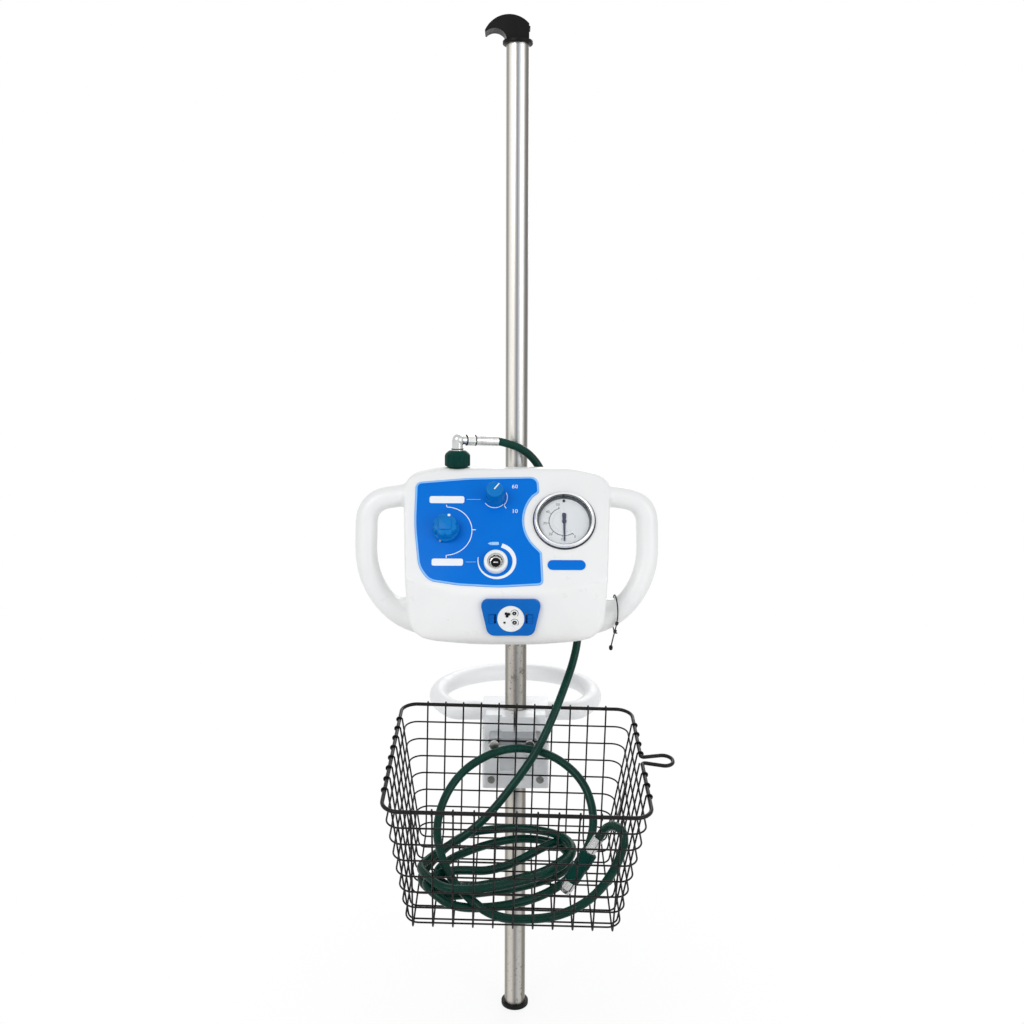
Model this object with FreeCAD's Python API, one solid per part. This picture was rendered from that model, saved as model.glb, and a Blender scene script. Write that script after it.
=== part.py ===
import FreeCAD, Part
import math
import os

# Airway-therapy controller on a pole, in millimetres. Origin: centre of the pole foot's underside.
# +Z is up, +X is the operator's right, the control panel faces -Y.

# Driving dimensions
pole_radius = 15.875
pole_wall = 1.5
pole_foot_height = 7.0
pole_top = 1425.0
flange_radius = 20.8

console_centre = -13.5
console_back = -38.0
console_bottom = 614.0
console_top = 847.3
console_bow = -163.6
shell_wall = 3.2
parting_plane = -50.0
panel_tilt = 32.0
panel_foot = (-157.0, 700.0)
belly_foot = (-156.0, 614.0)
belly_top = (-162.0, 692.0)
handle_tube_radius = 14.6
handle_wall = 3.5

gauge_centre = (65.0, 94.5)
gauge_radius = 41.5
mode_centre = (-95.9, 79.6)
rate_centre = (-30.0, 128.6)
flow_centre = (-27.8, 32.5)

connector_centre = (-7.5, 657.6)
inlet_axis = (-83.0, -51.0)
inlet_seat = 846.0
hose_yaw = 20.0
hose_dip = 3.0
hose_radius = 6.0

loop_radius = 123.0
loop_drop = 81.0
loop_tube_radius = 14.25
loop_height = 464.5
bar_y = 31.5
clamp_half_width = 49.0
clamp_bottom = 370.0
clamp_top = 480.0

basket_centre = (1.0, -208.0, 483.5)
basket_pitch = 9.6
basket_roll = 1.4
rim_half_width = 163.0
rim_half_depth = 135.0
basket_height = 190.0
basket_taper = math.tan(math.radians(8.0))
rim_wire = 2.5
mesh_wire = 1.15
mesh_pitch = 25.4
rim_corner = 22.0

jaw_height = 745.0
seat_gap = 0.06
run_gap = 0.05


def vec(x, y, z):
    return FreeCAD.Vector(x, y, z)


X_AXIS = vec(1, 0, 0)
Y_AXIS = vec(0, 1, 0)
Z_AXIS = vec(0, 0, 1)


def save(name, *shapes):
    shape = shapes[0] if len(shapes) == 1 else Part.makeCompound(list(shapes))
    shape.exportStep("parts/" + name + ".step")
    solids = shape.Solids
    print(name, len(solids), "solid(s)", round(sum(s.Volume for s in solids) / 1000.0, 2), "cm3")


def cylinder(radius, length, base, axis=Z_AXIS):
    return Part.makeCylinder(radius, length, base, axis)


def tube(outer, inner, length, base, axis=Z_AXIS):
    return cylinder(outer, length, base, axis).cut(cylinder(inner, length, base, axis))


def block(x0, x1, y0, y1, z0, z1):
    return Part.makeBox(x1 - x0, y1 - y0, z1 - z0, vec(x0, y0, z0))


def softened(shape, radius, chosen=None):
    """Round the chosen edges, or leave the shape sharp where a round can't be made."""
    edges = shape.Edges if chosen is None else [e for e in shape.Edges if chosen(e)]
    try:
        rounded = shape.makeFillet(radius, edges)
        return rounded if rounded.isValid() and rounded.Volume > 0 else shape
    except Exception:
        print("left sharp:", radius)
        return shape


def corner(before, at, after, radius):
    """The two tangent points and the middle of the arc that rounds a corner."""
    back = (before - at).normalize()
    ahead = (after - at).normalize()
    half = back.getAngle(ahead) / 2
    reach = radius / math.tan(half)
    start = at + back * reach
    end = at + ahead * reach
    inward = (back + ahead).normalize()
    middle = at + inward * (radius / math.sin(half) - radius)
    return start, middle, end


def rounded_path(points, radii, closed=False):
    """Straight runs joined by tangent arcs; one radius for each corner."""
    count = len(points)
    edges = []
    inner = range(count) if closed else range(1, count - 1)
    last = None if closed else points[0]
    first = None
    for i in inner:
        start, middle, end = corner(points[i - 1], points[i], points[(i + 1) % count], radii[i])
        if last is not None and (start - last).Length > 1e-6:
            edges.append(Part.LineSegment(last, start).toShape())
        if first is None:
            first = start
        edges.append(Part.Arc(start, middle, end).toShape())
        last = end
    final = first if closed else points[-1]
    if (final - last).Length > 1e-6:
        edges.append(Part.LineSegment(last, final).toShape())
    return Part.Wire(edges)


def swept(path, radius):
    edge = path.Edges[0]
    start = edge.valueAt(edge.FirstParameter)
    tangent = edge.tangentAt(edge.FirstParameter)
    section = Part.Wire([Part.Circle(start, tangent, radius).toShape()])
    return path.makePipeShell([section], True, False)


def flat_outline(corners):
    """A closed outline in the XY plane from (x, y, radius) corners."""
    points = [vec(x, y, 0) for x, y, radius in corners]
    radii = [radius for x, y, radius in corners]
    return rounded_path(points, radii, closed=True)


def plate(corners, height):
    return Part.Face(flat_outline(corners)).extrude(vec(0, 0, height))


def moved(shape, placement):
    placed = shape.copy()
    placed.Placement = placement.multiply(placed.Placement)
    return placed


def on_panel(shape):
    """Move a shape from panel axes (x across, y up the slope, z outward) to the part's frame."""
    turn = FreeCAD.Rotation(X_AXIS, 90.0 - panel_tilt)
    return moved(shape, FreeCAD.Placement(vec(0, panel_foot[0], panel_foot[1]), turn))


def on_belly(shape):
    """Move a shape from belly axes (x across, y up, z outward, y = 0 at the connector) to the frame."""
    lean = math.degrees(math.atan2(belly_top[0] - belly_foot[0], belly_top[1] - belly_foot[1]))
    share = (connector_centre[1] - belly_foot[1]) / (belly_top[1] - belly_foot[1])
    depth = belly_foot[0] + share * (belly_top[0] - belly_foot[0])
    return moved(shape, FreeCAD.Placement(vec(0, depth, connector_centre[1]), FreeCAD.Rotation(X_AXIS, 90 - lean)))


def at_panel(point, depth):
    return vec(point[0], point[1], depth)


def facing_front(shape, y):
    """Turn a shape drawn in XY, with Y meaning height, to stand facing -Y at the given depth."""
    return moved(shape, FreeCAD.Placement(vec(0, y, 0), FreeCAD.Rotation(X_AXIS, 90)))


# ---------------------------------------------------------------- pole
def make_pole():
    save("pole_tube", tube(pole_radius, pole_radius - pole_wall, pole_top - pole_foot_height,
                           vec(0, 0, pole_foot_height)))

    plug_radius = pole_radius - pole_wall - 0.05
    disc = softened(cylinder(flange_radius, pole_foot_height, vec(0, 0, 0)), 1.6)
    foot = disc.fuse(tube(plug_radius, plug_radius - 3, 28, vec(0, 0, pole_foot_height - 1)))
    save("pole_foot_cap", foot)

    save("pole_hook_cap", make_hook_cap(plug_radius))


def make_hook_cap(plug_radius):
    ring = softened(cylinder(flange_radius, 5.5, vec(0, 0, pole_top)), 1.5)
    plug = tube(plug_radius, plug_radius - 3, 29, vec(0, 0, pole_top - 28))
    base = pole_top + 5.0
    tip = vec(-45, 0, 1437)
    edges = [
        Part.LineSegment(vec(15.5, 0, base), vec(15.5, 0, 1449.5)).toShape(),
        Part.Arc(vec(15.5, 0, 1449.5), vec(-13, 0, 1461.5), vec(-45, 0, 1441)).toShape(),
        Part.LineSegment(vec(-45, 0, 1441), tip).toShape(),
        Part.Arc(tip, vec(-30, 0, 1443.5), vec(-15.5, 0, base)).toShape(),
        Part.LineSegment(vec(-15.5, 0, base), vec(15.5, 0, base)).toShape(),
    ]
    half_depth = 14.5
    beak = Part.Face(Part.Wire(edges)).extrude(vec(0, 2 * half_depth, 0))
    beak.translate(vec(0, -half_depth, 0))
    beak = softened(beak, 1.2)
    lip = block(13, 17.0, -9, 9, 1444.5, 1447.5)
    return ring.fuse([plug, beak, lip]).removeSplitter()


# ---------------------------------------------------------------- console shells
def console_solid(inset):
    """The console's body as one solid, or the space inside it when inset is the wall."""
    slope = math.tan(math.radians(panel_tilt))
    inward = inset / math.cos(math.radians(panel_tilt))
    crease = panel_foot[0] + (belly_top[1] - panel_foot[1]) * slope
    crown = panel_foot[0] + (console_top - inset - panel_foot[1]) * slope
    side = [
        (console_back - inset, console_bottom + inset, 5),
        (belly_foot[0] + inset, console_bottom + inset, 22 - inset),
        (crease + inset, belly_top[1] + inset * 0.1, 14),
        (crown + inward, console_top - inset, 10 - inset),
        (console_back - inset, console_top - inset, 5),
    ]
    points = [vec(-400, y, z) for y, z, r in side]
    profile = Part.Face(rounded_path(points, [r for y, z, r in side], closed=True))
    body = profile.extrude(vec(800, 0, 0))

    low = console_bottom + 0.5 + inset
    high = console_top - inset
    right_side = [
        (35, low, 300),
        (98, low + 8, 80),
        (131 - inset, low + 18, 33 - inset),
        (144.5 - inset, high - 12, 24 - inset),
        (90, high + 0.5, 200),
    ]
    front = [(console_centre + dx, z, r) for dx, z, r in right_side]
    front += [(console_centre - dx, z, r) for dx, z, r in reversed(right_side)]
    outline = facing_front(Part.Face(flat_outline(front)).extrude(vec(0, 0, 300)), 50)

    bow = console_bow + inset
    right_half = [
        (60, bow, 600),
        (151 - inset, bow + 14.2, 20 - inset),
        (151 - inset, console_back + 10, 0.5),
    ]
    plan = [(console_centre + dx, y, r) for dx, y, r in right_half]
    plan += [(console_centre - dx, y, r) for dx, y, r in reversed(right_half)]
    bowed = Part.Face(flat_outline(plan)).extrude(vec(0, 0, 300))
    bowed.translate(vec(0, 0, 580))
    return body.common(outline).common(bowed)


def handle_path(side):
    """Centreline of a hand grip, from inside the shoulder down to inside the belly."""
    drawn = [(-100, 816, 0), (-195, 801.5, 32), (-196.5, 692, 110), (-131, 624.5, 88), (-45, 640, 0)]
    points = [vec(console_centre + side * x, -66 - (822 - z) * 0.15, z) for x, z, r in drawn]
    return rounded_path(points, [r for x, z, r in drawn])


def panel_openings():
    holes = [
        cylinder(38.4, 12, at_panel(gauge_centre, -8)),
        cylinder(4.0, 12, at_panel(mode_centre, -8)),
        cylinder(4.0, 12, at_panel(rate_centre, -8)),
        cylinder(12.3, 12, at_panel(flow_centre, -8)),
    ]
    return [on_panel(hole) for hole in holes]


def panel_corners():
    return [
        (-138.5, 151.5, 9), (-122, 8, 14), (-80, 0.6, 200), (-24.6, -2.6, 200), (35.8, 1.0, 7), (30, 160.5, 12),
        (-64.7, 158.3, 300),
    ]


def inlet_opening():
    x, y = inlet_axis
    return cylinder(11.2, 60, vec(x, y, inlet_seat - 30)).fuse(cylinder(15.2, 30, vec(x, y, inlet_seat)))


def connector_outline(grow):
    x = connector_centre[0]
    return [
        (x - 30.5 - grow, -24 - grow, 11),
        (x + 30.5 + grow, -24 - grow, 11),
        (x + 41.5 + grow, 26 + grow, 9),
        (x - 41.5 - grow, 26 + grow, 9),
    ]


def boss_places():
    x = console_centre
    return [(x - 131, 800), (x + 131, 800), (x - 120, 665), (x + 120, 665), (x - 60, 627.5), (x + 60, 627.5)]


def make_shells():
    outer = softened(console_solid(0), 5.0, lambda e: e.BoundBox.YMin < console_back - 1)
    shell = outer.cut(console_solid(shell_wall))
    front_space = block(-400, 400, -400, parting_plane, 0, 1200)
    back_space = block(-400, 400, parting_plane, 0, 0, 1200)

    front = shell.common(front_space)
    grips = []
    for side in (1, -1):
        path = handle_path(side)
        grips.append(swept(path, handle_tube_radius).cut(console_solid(shell_wall)))
    posts = [cylinder(6, 30, vec(x, parting_plane - 30, z), Y_AXIS).common(outer) for x, z in boss_places()]
    front = front.fuse(grips + posts)
    for side in (1, -1):
        front = front.cut(swept(handle_path(side), handle_tube_radius - handle_wall))
    cutters = panel_openings()
    cutters.append(on_panel(plate(panel_corners(), 12)))
    neck_hole = plate(connector_outline(-6), 30)
    neck_hole.translate(vec(0, 0, -12))
    cutters.append(on_belly(neck_hole))
    cutters.append(inlet_opening())
    cutters += [cylinder(2.1, 12, vec(x, parting_plane - 10, z), Y_AXIS) for x, z in boss_places()]
    front = front.cut(Part.makeCompound(cutters))
    front = max(front.common(front_space).Solids, key=lambda s: s.Volume)
    save("front_housing", front)

    rear = shell.common(back_space)
    bosses = [cylinder(6, 14, vec(x, parting_plane, z), Y_AXIS) for x, z in boss_places()]
    rear = rear.fuse([b.common(outer) for b in bosses])
    holes = [cylinder(2.1, 30, vec(x, parting_plane - 8, z), Y_AXIS) for x, z in boss_places()]
    heads = [cylinder(4.2, 10, vec(x, console_back - 3.0, z), Y_AXIS) for x, z in boss_places()]
    mounts = [cylinder(2.6, 30, vec(x, parting_plane - 8, z), Y_AXIS) for x, z in frame_screw_places()]
    notch = inlet_opening()
    rear = rear.cut(Part.makeCompound(holes + heads + mounts + [notch]))
    save("rear_cover", max(rear.Solids, key=lambda s: s.Volume))

    screws = []
    for x, z in boss_places():
        shank = cylinder(2.0, 17, vec(x, console_back - 20, z), Y_AXIS)
        head = cylinder(4.0, 2.4, vec(x, console_back - 3.0, z), Y_AXIS)
        screws.append(shank.fuse(head))
    for x, z in frame_screw_places():
        shank = cylinder(2.0, 14.5, vec(x, console_back - 4.0, z), Y_AXIS)
        head = cylinder(4.0, 2.4, vec(x, console_back - shell_wall - 2.4, z), Y_AXIS)
        screws.append(shank.fuse(head))
    save("housing_screws", *screws)

    feet = []
    for x in (-83, 41):
        for y in (-112, -62):
            foot = cylinder(5.5, 12, vec(x, y, console_bottom - 2.0)).cut(console_solid(0))
            feet.append(softened(foot, 1.2, lambda e: e.BoundBox.ZMax < console_bottom - 1.9))
    save("console_feet", *feet)


# ---------------------------------------------------------------- panel and controls
def make_panel():
    overlay = plate(panel_corners(), 0.8)
    gauge_gap = cylinder(55, 4, at_panel(gauge_centre, -1))
    shaft_holes = [cylinder(4.0, 4, at_panel(p, -1)) for p in (mode_centre, rate_centre)]
    shaft_holes.append(cylinder(12.3, 4, at_panel(flow_centre, -1)))
    overlay = overlay.cut(Part.makeCompound([gauge_gap] + shaft_holes))
    overlay = max(overlay.Solids, key=lambda s: s.Volume)
    save("panel_overlay", on_panel(overlay))

    badge = plate([(41.5, 22.5, 6.9), (92.5, 22.5, 6.9), (92.5, 36.5, 6.9), (41.5, 36.5, 6.9)], 0.8)
    save("badge_plate", on_panel(badge))


def fluted(radius, height, flutes, flute_radius, base):
    body = cylinder(radius, height, base)
    cutters = []
    for i in range(flutes):
        angle = 2 * math.pi * (i + 0.5) / flutes
        reach = radius + flute_radius * 0.55
        spot = base + vec(reach * math.cos(angle), reach * math.sin(angle), -1)
        cutters.append(cylinder(flute_radius, height + 2, spot))
    return body.cut(Part.makeCompound(cutters))


def make_controls():
    x, s = mode_centre
    skirt = softened(cylinder(18.2, 7, vec(x, s, 1.4)), 1.2)
    grip = fluted(15.8, 16, 8, 4.5, vec(x, s, 7.4))
    knob = skirt.fuse(softened(grip, 0.8, lambda e: e.BoundBox.ZMin > 23))
    knob = knob.cut(cylinder(3.0, 16, vec(x, s, 1.0)))
    save("mode_knob", on_panel(knob))
    save("mode_stem", on_panel(cylinder(3.0, 38, vec(x, s, -21))))

    x, s = rate_centre
    cone = Part.makeCone(13.6, 11.6, 28, vec(x, s, 1.4), Z_AXIS)
    knob = softened(cone, 1.0, lambda e: e.BoundBox.ZMin > 29).cut(cylinder(3.0, 19, vec(x, s, 1.0)))
    save("rate_knob", on_panel(knob))
    save("rate_stem", on_panel(cylinder(3.0, 41, vec(x, s, -21))))

    x, s = flow_centre
    collar = tube(15.9, 10.85, 8.5, vec(x, s, 0.8)).fuse(tube(12.1, 10.85, 8.9, vec(x, s, -8.0)))
    collar = softened(collar, 1.0, lambda e: e.BoundBox.ZMin > 9.2 and e.BoundBox.XLength > 30)
    save("flow_collar", on_panel(collar))
    stem = cylinder(10.8, 14, vec(x, s, -7.0))
    bowl = Part.makeCone(5.0, 9.4, 7, vec(x, s, 1.0), Z_AXIS)
    socket = Part.Face(flat_outline([(x + 4 * math.cos(a), s + 4 * math.sin(a), 0.3)
                                     for a in [math.pi / 3 * i for i in range(6)]])).extrude(vec(0, 0, 7))
    socket.translate(vec(0, 0, -5.0))
    stem = stem.cut(Part.makeCompound([bowl])).cut(socket)
    stem = stem.fuse(cylinder(3.0, 15, vec(x, s, -21)))
    save("flow_stem", on_panel(stem))

    bodies = []
    for centre, radius, top in ((mode_centre, 13.5, -3.6), (rate_centre, 11.0, -3.6), (flow_centre, 12.0, -8.2)):
        body = cylinder(radius, top + 30.0, at_panel(centre, -30.0))
        bodies.append(on_panel(body.cut(cylinder(3.0 + run_gap, top + 22.2, at_panel(centre, -21.2)))))
    save("valve_cartridges", *bodies)


def make_gauge():
    x, s = gauge_centre
    case = cylinder(38.0, 46, vec(x, s, -46)).cut(cylinder(36.4, 50, vec(x, s, -44.5)))
    flange = tube(41.0, 36.4, 1.6, vec(x, s, 0))
    save("gauge_case", on_panel(case.fuse(flange)))

    bezel = tube(gauge_radius + 0.7, 35.2, 6.2, vec(x, s, 1.6))
    bezel = softened(bezel, 2.4, lambda e: e.BoundBox.ZMin > 7.7)
    bezel = bezel.cut(cylinder(36.6, 1.8, vec(x, s, 2.2)))
    save("gauge_bezel", on_panel(bezel))
    save("gauge_lens", on_panel(cylinder(36.5, 1.6, vec(x, s, 2.3))))

    dial = cylinder(36.2, 1.0, vec(x, s, -4.5)).cut(cylinder(1.6, 3, vec(x, s, -5.5)))
    pillars = [cylinder(1.5, 13.5, vec(x + side * 6.5, s, -18)) for side in (1, -1)]
    save("gauge_dial", on_panel(dial.fuse(pillars)))

    blade = plate([(x - 0.9, s - 26, 0.3), (x + 0.9, s - 26, 0.3), (x + 1.3, s, 0.2), (x - 1.3, s, 0.2)], 0.7)
    tail = plate([(x - 1.2, s, 0.2), (x + 1.2, s, 0.2), (x + 2.9, s + 11.5, 1.2), (x - 2.9, s + 11.5, 1.2)], 0.7)
    needle = blade.fuse(tail)
    needle.translate(vec(0, 0, -2.2))
    needle = needle.fuse([cylinder(3.0, 1.6, vec(x, s, -2.6)), cylinder(1.2, 20, vec(x, s, -22))])
    save("gauge_needle", on_panel(needle))

    movement = cylinder(9, 8, vec(x, s, -26)).fuse(block(x - 4, x + 4, s - 20, s - 5, -44.4, -24))
    movement = movement.cut(cylinder(1.2 + run_gap, 12, vec(x, s, -24)))
    coil_wire = Part.Wire([Part.Arc(vec(x, s - 25, -34), vec(x + 25, s, -34), vec(x, s + 25, -34)).toShape()])
    bourdon = swept(coil_wire, 3.2)
    socket = block(x - 6, x + 6, s - 31, s - 19, -44.4, -33.4)
    save("gauge_movement", on_panel(movement.fuse([bourdon, socket])))


def make_connector():
    x = connector_centre[0]
    bezel = plate(connector_outline(0), 6.5)
    bezel = softened(bezel, 1.6, lambda e: e.BoundBox.ZMin > 6.4)
    neck = plate(connector_outline(-7), 14)
    neck.translate(vec(0, 0, -13))
    body = bezel.fuse(neck)
    body = body.cut(cylinder(18.1, 6, vec(x, 0, 2.0)))
    for side in (1, -1):
        x0 = x + side * 24.3
        body = body.cut(block(x0 - 4.9, x0 + 4.9, -6.5, 6.5, 1.2, 8))
    body = body.cut(cylinder(4.0, 30, vec(x, 0, -14)))
    save("connector_block", on_belly(body))

    disc = cylinder(17.9, 5.4, vec(x, 0, 2.0))
    disc = softened(disc, 0.7, lambda e: e.BoundBox.ZMin > 7.3)
    for dx, dz, radius in ((4.7, 7.7, 3.0), (5.0, -5.2, 3.2), (-8.3, -5.2, 1.8)):
        disc = disc.cut(cylinder(radius, 8, vec(x + dx, dz, 1)))
    save("connector_disc", on_belly(disc))

    for name, side in (("left_latch", -1), ("right_latch", 1)):
        x0 = x + side * 25.6
        tab = block(x0 - 3.3, x0 + 3.3, -6.0, 6.0, 1.7, 7.3)
        ribs = [block(x0 - 3.3, x0 + 3.3, k - 0.7, k + 0.7, 7.2, 8.0) for k in (-4, 0, 4)]
        save(name, on_belly(tab.fuse(ribs)))


def make_air_system():
    manifold = block(-116, -8, 18, 132, -50, -30.0)
    manifold = on_panel(softened(manifold, 2.0))
    posts = [cylinder(4, 70, vec(x, -38 - shell_wall - 70, z), Y_AXIS) for x in (-100, -24) for z in (735, 800)]
    keep = on_panel(block(-200, 200, -100, 300, -300, -40))
    save("valve_manifold", manifold.fuse([post.common(keep) for post in posts]))

    regulator = cylinder(17, 34, vec(40, -78, 640)).fuse(cylinder(11, 20, vec(40, -78, 673.5)))
    feet = [block(x - 3, x + 3, -93, -84, console_bottom + shell_wall, 641) for x in (28, 52)]
    save("pressure_regulator", regulator.fuse(feet).common(console_solid(shell_wall)))

    ix, iy = inlet_axis
    body = cylinder(10.9, 26, vec(ix, iy, inlet_seat - 24)).fuse(cylinder(7.9, 17.5, vec(ix, iy, inlet_seat + 1.5)))
    body = body.fuse(cylinder(14.5, 2.4, vec(ix, iy, inlet_seat + 0.1)))
    body = body.cut(cylinder(4.5, 60, vec(ix, iy, inlet_seat - 30)))
    save("inlet_body", body)

    supply = rounded_path([vec(ix, iy, inlet_seat - 24.1), vec(ix, iy, 801), vec(ix, -56.6, 793.0)], [0, 9, 0])
    gauge_back = on_panel(cylinder(1, 1, vec(gauge_centre[0], gauge_centre[1] - 25, -46.1))).CenterOfMass
    gauge_line = rounded_path([gauge_back + vec(0, 1.2, 0), gauge_back + vec(0, 14, -8), vec(40, -78, 712),
                               vec(40, -78, 693.6)], [0, 9, 12, 0])
    outlet = rounded_path([vec(40, -95.05, 655), vec(40, -112, 655), vec(18, -122, 657), vec(-7.5, -128, 660.0),
                           vec(-7.5, -146.3, 658.6)], [0, 7, 10, 8, 0])
    save("air_tubes", swept(supply, 4.0), swept(gauge_line, 2.5), swept(outlet, 4.0))


# ---------------------------------------------------------------- pole clamp of the console
def frame_screw_places():
    return [(-36, 722), (-36, 768), (22, 722), (22, 768)]


def make_console_clamp():
    back = console_back
    low = jaw_height - 30
    high = jaw_height + 30
    frame = block(-60, 36, back, -24, low, high)
    frame = frame.fuse([block(4, 36, -25, 22, low, high), block(-60, -44, -25, 14, low, high)])
    frame = frame.cut(cylinder(pole_radius + seat_gap, 200, vec(0, 0, 650)))
    frame = frame.cut(cylinder(5.0 + run_gap, 30, vec(-70, 0, jaw_height), X_AXIS))
    for x, z in frame_screw_places():
        frame = frame.cut(cylinder(2.1, 40, vec(x, back - 1, z), Y_AXIS))
    frame = softened(frame, 2.5, lambda e: abs(e.BoundBox.ZLength - 60) < 0.01 and e.BoundBox.YMin > -23)
    save("clamp_frame", frame)

    jaw = block(-30, -9, -23.4, 12, jaw_height - 17, jaw_height + 17)
    save("clamp_jaw", jaw.cut(cylinder(pole_radius + seat_gap, 200, vec(0, 0, 650))))
    save("clamp_screw", cylinder(5.0, 66, vec(-96, 0, jaw_height), X_AXIS))

    knob = fluted(24, 18, 6, 9, vec(0, 0, 0))
    knob = knob.fuse(cylinder(11, 8, vec(0, 0, 17)))
    knob = knob.cut(cylinder(5.0, 17, vec(0, 0, 9.0)))
    knob.Placement = FreeCAD.Placement(vec(-105, 0, jaw_height), FreeCAD.Rotation(Y_AXIS, 90))
    save("clamp_knob", knob)



# ---------------------------------------------------------------- loop handle and its clamp
def loop_path():
    """A round ring cut by a straight bar that runs behind the pole."""
    drop = loop_drop
    centre_y = bar_y + drop
    half_bar = math.sqrt(loop_radius ** 2 - drop ** 2)
    bend = 20.0
    # the bend touches the bar and the ring from inside
    bend_y = bar_y + bend
    bend_x = math.sqrt((loop_radius - bend) ** 2 - (drop - bend) ** 2)
    spread = math.atan2(bend_y - centre_y, bend_x)
    touch = vec(loop_radius * math.cos(spread), centre_y + loop_radius * math.sin(spread), loop_height)
    middle_turn = (spread - math.pi / 2) / 2
    knee = vec(bend_x + bend * math.cos(middle_turn), bend_y + bend * math.sin(middle_turn), loop_height)

    def mirrored(point):
        return vec(-point.x, point.y, point.z)

    bar_end = vec(bend_x, bar_y, loop_height)
    far = vec(0, centre_y + loop_radius, loop_height)
    edges = [
        Part.LineSegment(mirrored(bar_end), bar_end).toShape(),
        Part.Arc(bar_end, knee, touch).toShape(),
        Part.Arc(touch, far, mirrored(touch)).toShape(),
        Part.Arc(mirrored(touch), mirrored(knee), mirrored(bar_end)).toShape(),
    ]
    print("loop handle bar half length", round(half_bar, 1))
    return Part.Wire(edges)


def make_loop_handle():
    save("loop_handle", swept(loop_path(), loop_tube_radius))

    half = clamp_half_width
    pole_bore = cylinder(pole_radius + seat_gap, 400, vec(0, 0, 300))
    front = block(-half, half, -42, -0.2, clamp_bottom, clamp_top - 14)
    front = softened(front, 5, lambda e: e.BoundBox.ZLength > 90 and e.BoundBox.YMax < -20)
    nose = block(-20.5, 28.5, -46, -12, clamp_bottom + 88, clamp_top)
    cheeks = block(-44, 44, -30, -0.2, clamp_top - 15, clamp_top - 2)
    pad = block(-20.5, 26.5, -46, -41, clamp_bottom + 76.5, clamp_bottom + 89)
    front = front.fuse([nose, cheeks, pad])
    cutters = [
        pole_bore,
        cylinder(pole_radius + 2.4, 20, vec(0, 0, clamp_top - 8)),
        block(-3.2, 1.6, -60, -10, clamp_top - 22, clamp_top + 5),
        block(-23.0, -3.0, -50, -34, 397, 421),
        block(11.0, 27.0, -50, -34, 394, 421),
        cylinder(2.6, 20, vec(9, -50, 384), Y_AXIS),
        block(-60, 60, -50, -40.8, 392.5, 394.0),
    ]
    front = front.cut(Part.makeCompound(cutters))
    bolt_places = [(-30, 452), (33, 452), (-36, 383), (36, 383)]
    bolt_holes = Part.makeCompound([cylinder(3.0, 120, vec(x, -60, z), Y_AXIS) for x, z in bolt_places])
    heads = Part.makeCompound([cylinder(5.6, 8, vec(x, -46, z), Y_AXIS) for x, z in bolt_places])
    front = front.cut(bolt_holes).cut(heads)
    save("handle_clamp_front", max(front.Solids, key=lambda s: s.Volume))

    rear = block(-half, half, 0.2, 52, clamp_bottom, clamp_top + 2)
    rear = softened(rear, 6, lambda e: e.BoundBox.YMin > 40)
    bar_hole = cylinder(loop_tube_radius + seat_gap, 200, vec(-100, bar_y, loop_height), X_AXIS)
    rear = rear.cut(Part.makeCompound([pole_bore])).cut(bar_hole).cut(bolt_holes)
    save("handle_clamp_rear", max(rear.Solids, key=lambda s: s.Volume))

    bolts = []
    for x, z in bolt_places:
        length = 44 if z > 420 else 70
        shank = cylinder(2.95, length, vec(x, -38.5, z), Y_AXIS)
        bolts.append(shank.fuse(cylinder(5.4, 5, vec(x, -43, z), Y_AXIS)))
    save("handle_clamp_bolts", *bolts)


# ---------------------------------------------------------------- basket
def basket_place(shape):
    """Hang a basket piece, drawn about the middle of its rim, at its pitch and roll."""
    turn = FreeCAD.Rotation(Y_AXIS, basket_roll).multiply(FreeCAD.Rotation(X_AXIS, basket_pitch))
    return moved(shape, FreeCAD.Placement(vec(*basket_centre), turn))


def wall_wire(x, y_sign, along_y):
    """An upright of a wall: down the slope, round the bottom bend, level at its end."""
    half = rim_half_depth if along_y else rim_half_width
    lift = 0.0 if along_y else 2 * mesh_wire + 0.05
    inset = rim_wire + mesh_wire + 0.05
    floor = -basket_height + lift
    top = half - inset
    foot = top + floor * basket_taper
    bend = 9.0
    reach = bend * math.tan(math.radians(41.0))
    path = [(x, y_sign * top, 1.5), (x, y_sign * foot, floor), (x, y_sign * (foot - reach - 0.01), floor)]
    if not along_y:
        path = [(b, a, c) for a, b, c in path]
    return swept(rounded_path([vec(*p) for p in path], [0, bend, 0]), mesh_wire)


def floor_wire(x, along_y):
    half = rim_half_depth if along_y else rim_half_width
    lift = 0.0 if along_y else 2 * mesh_wire + 0.05
    floor = -basket_height + lift
    foot = half - rim_wire - mesh_wire - 0.05 + floor * basket_taper
    span = foot - 9.0 * math.tan(math.radians(41.0)) - 0.02
    if along_y:
        return cylinder(mesh_wire, 2 * span, vec(x, -span, floor), Y_AXIS)
    return cylinder(mesh_wire, 2 * span, vec(-span, x, floor), X_AXIS)


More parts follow.
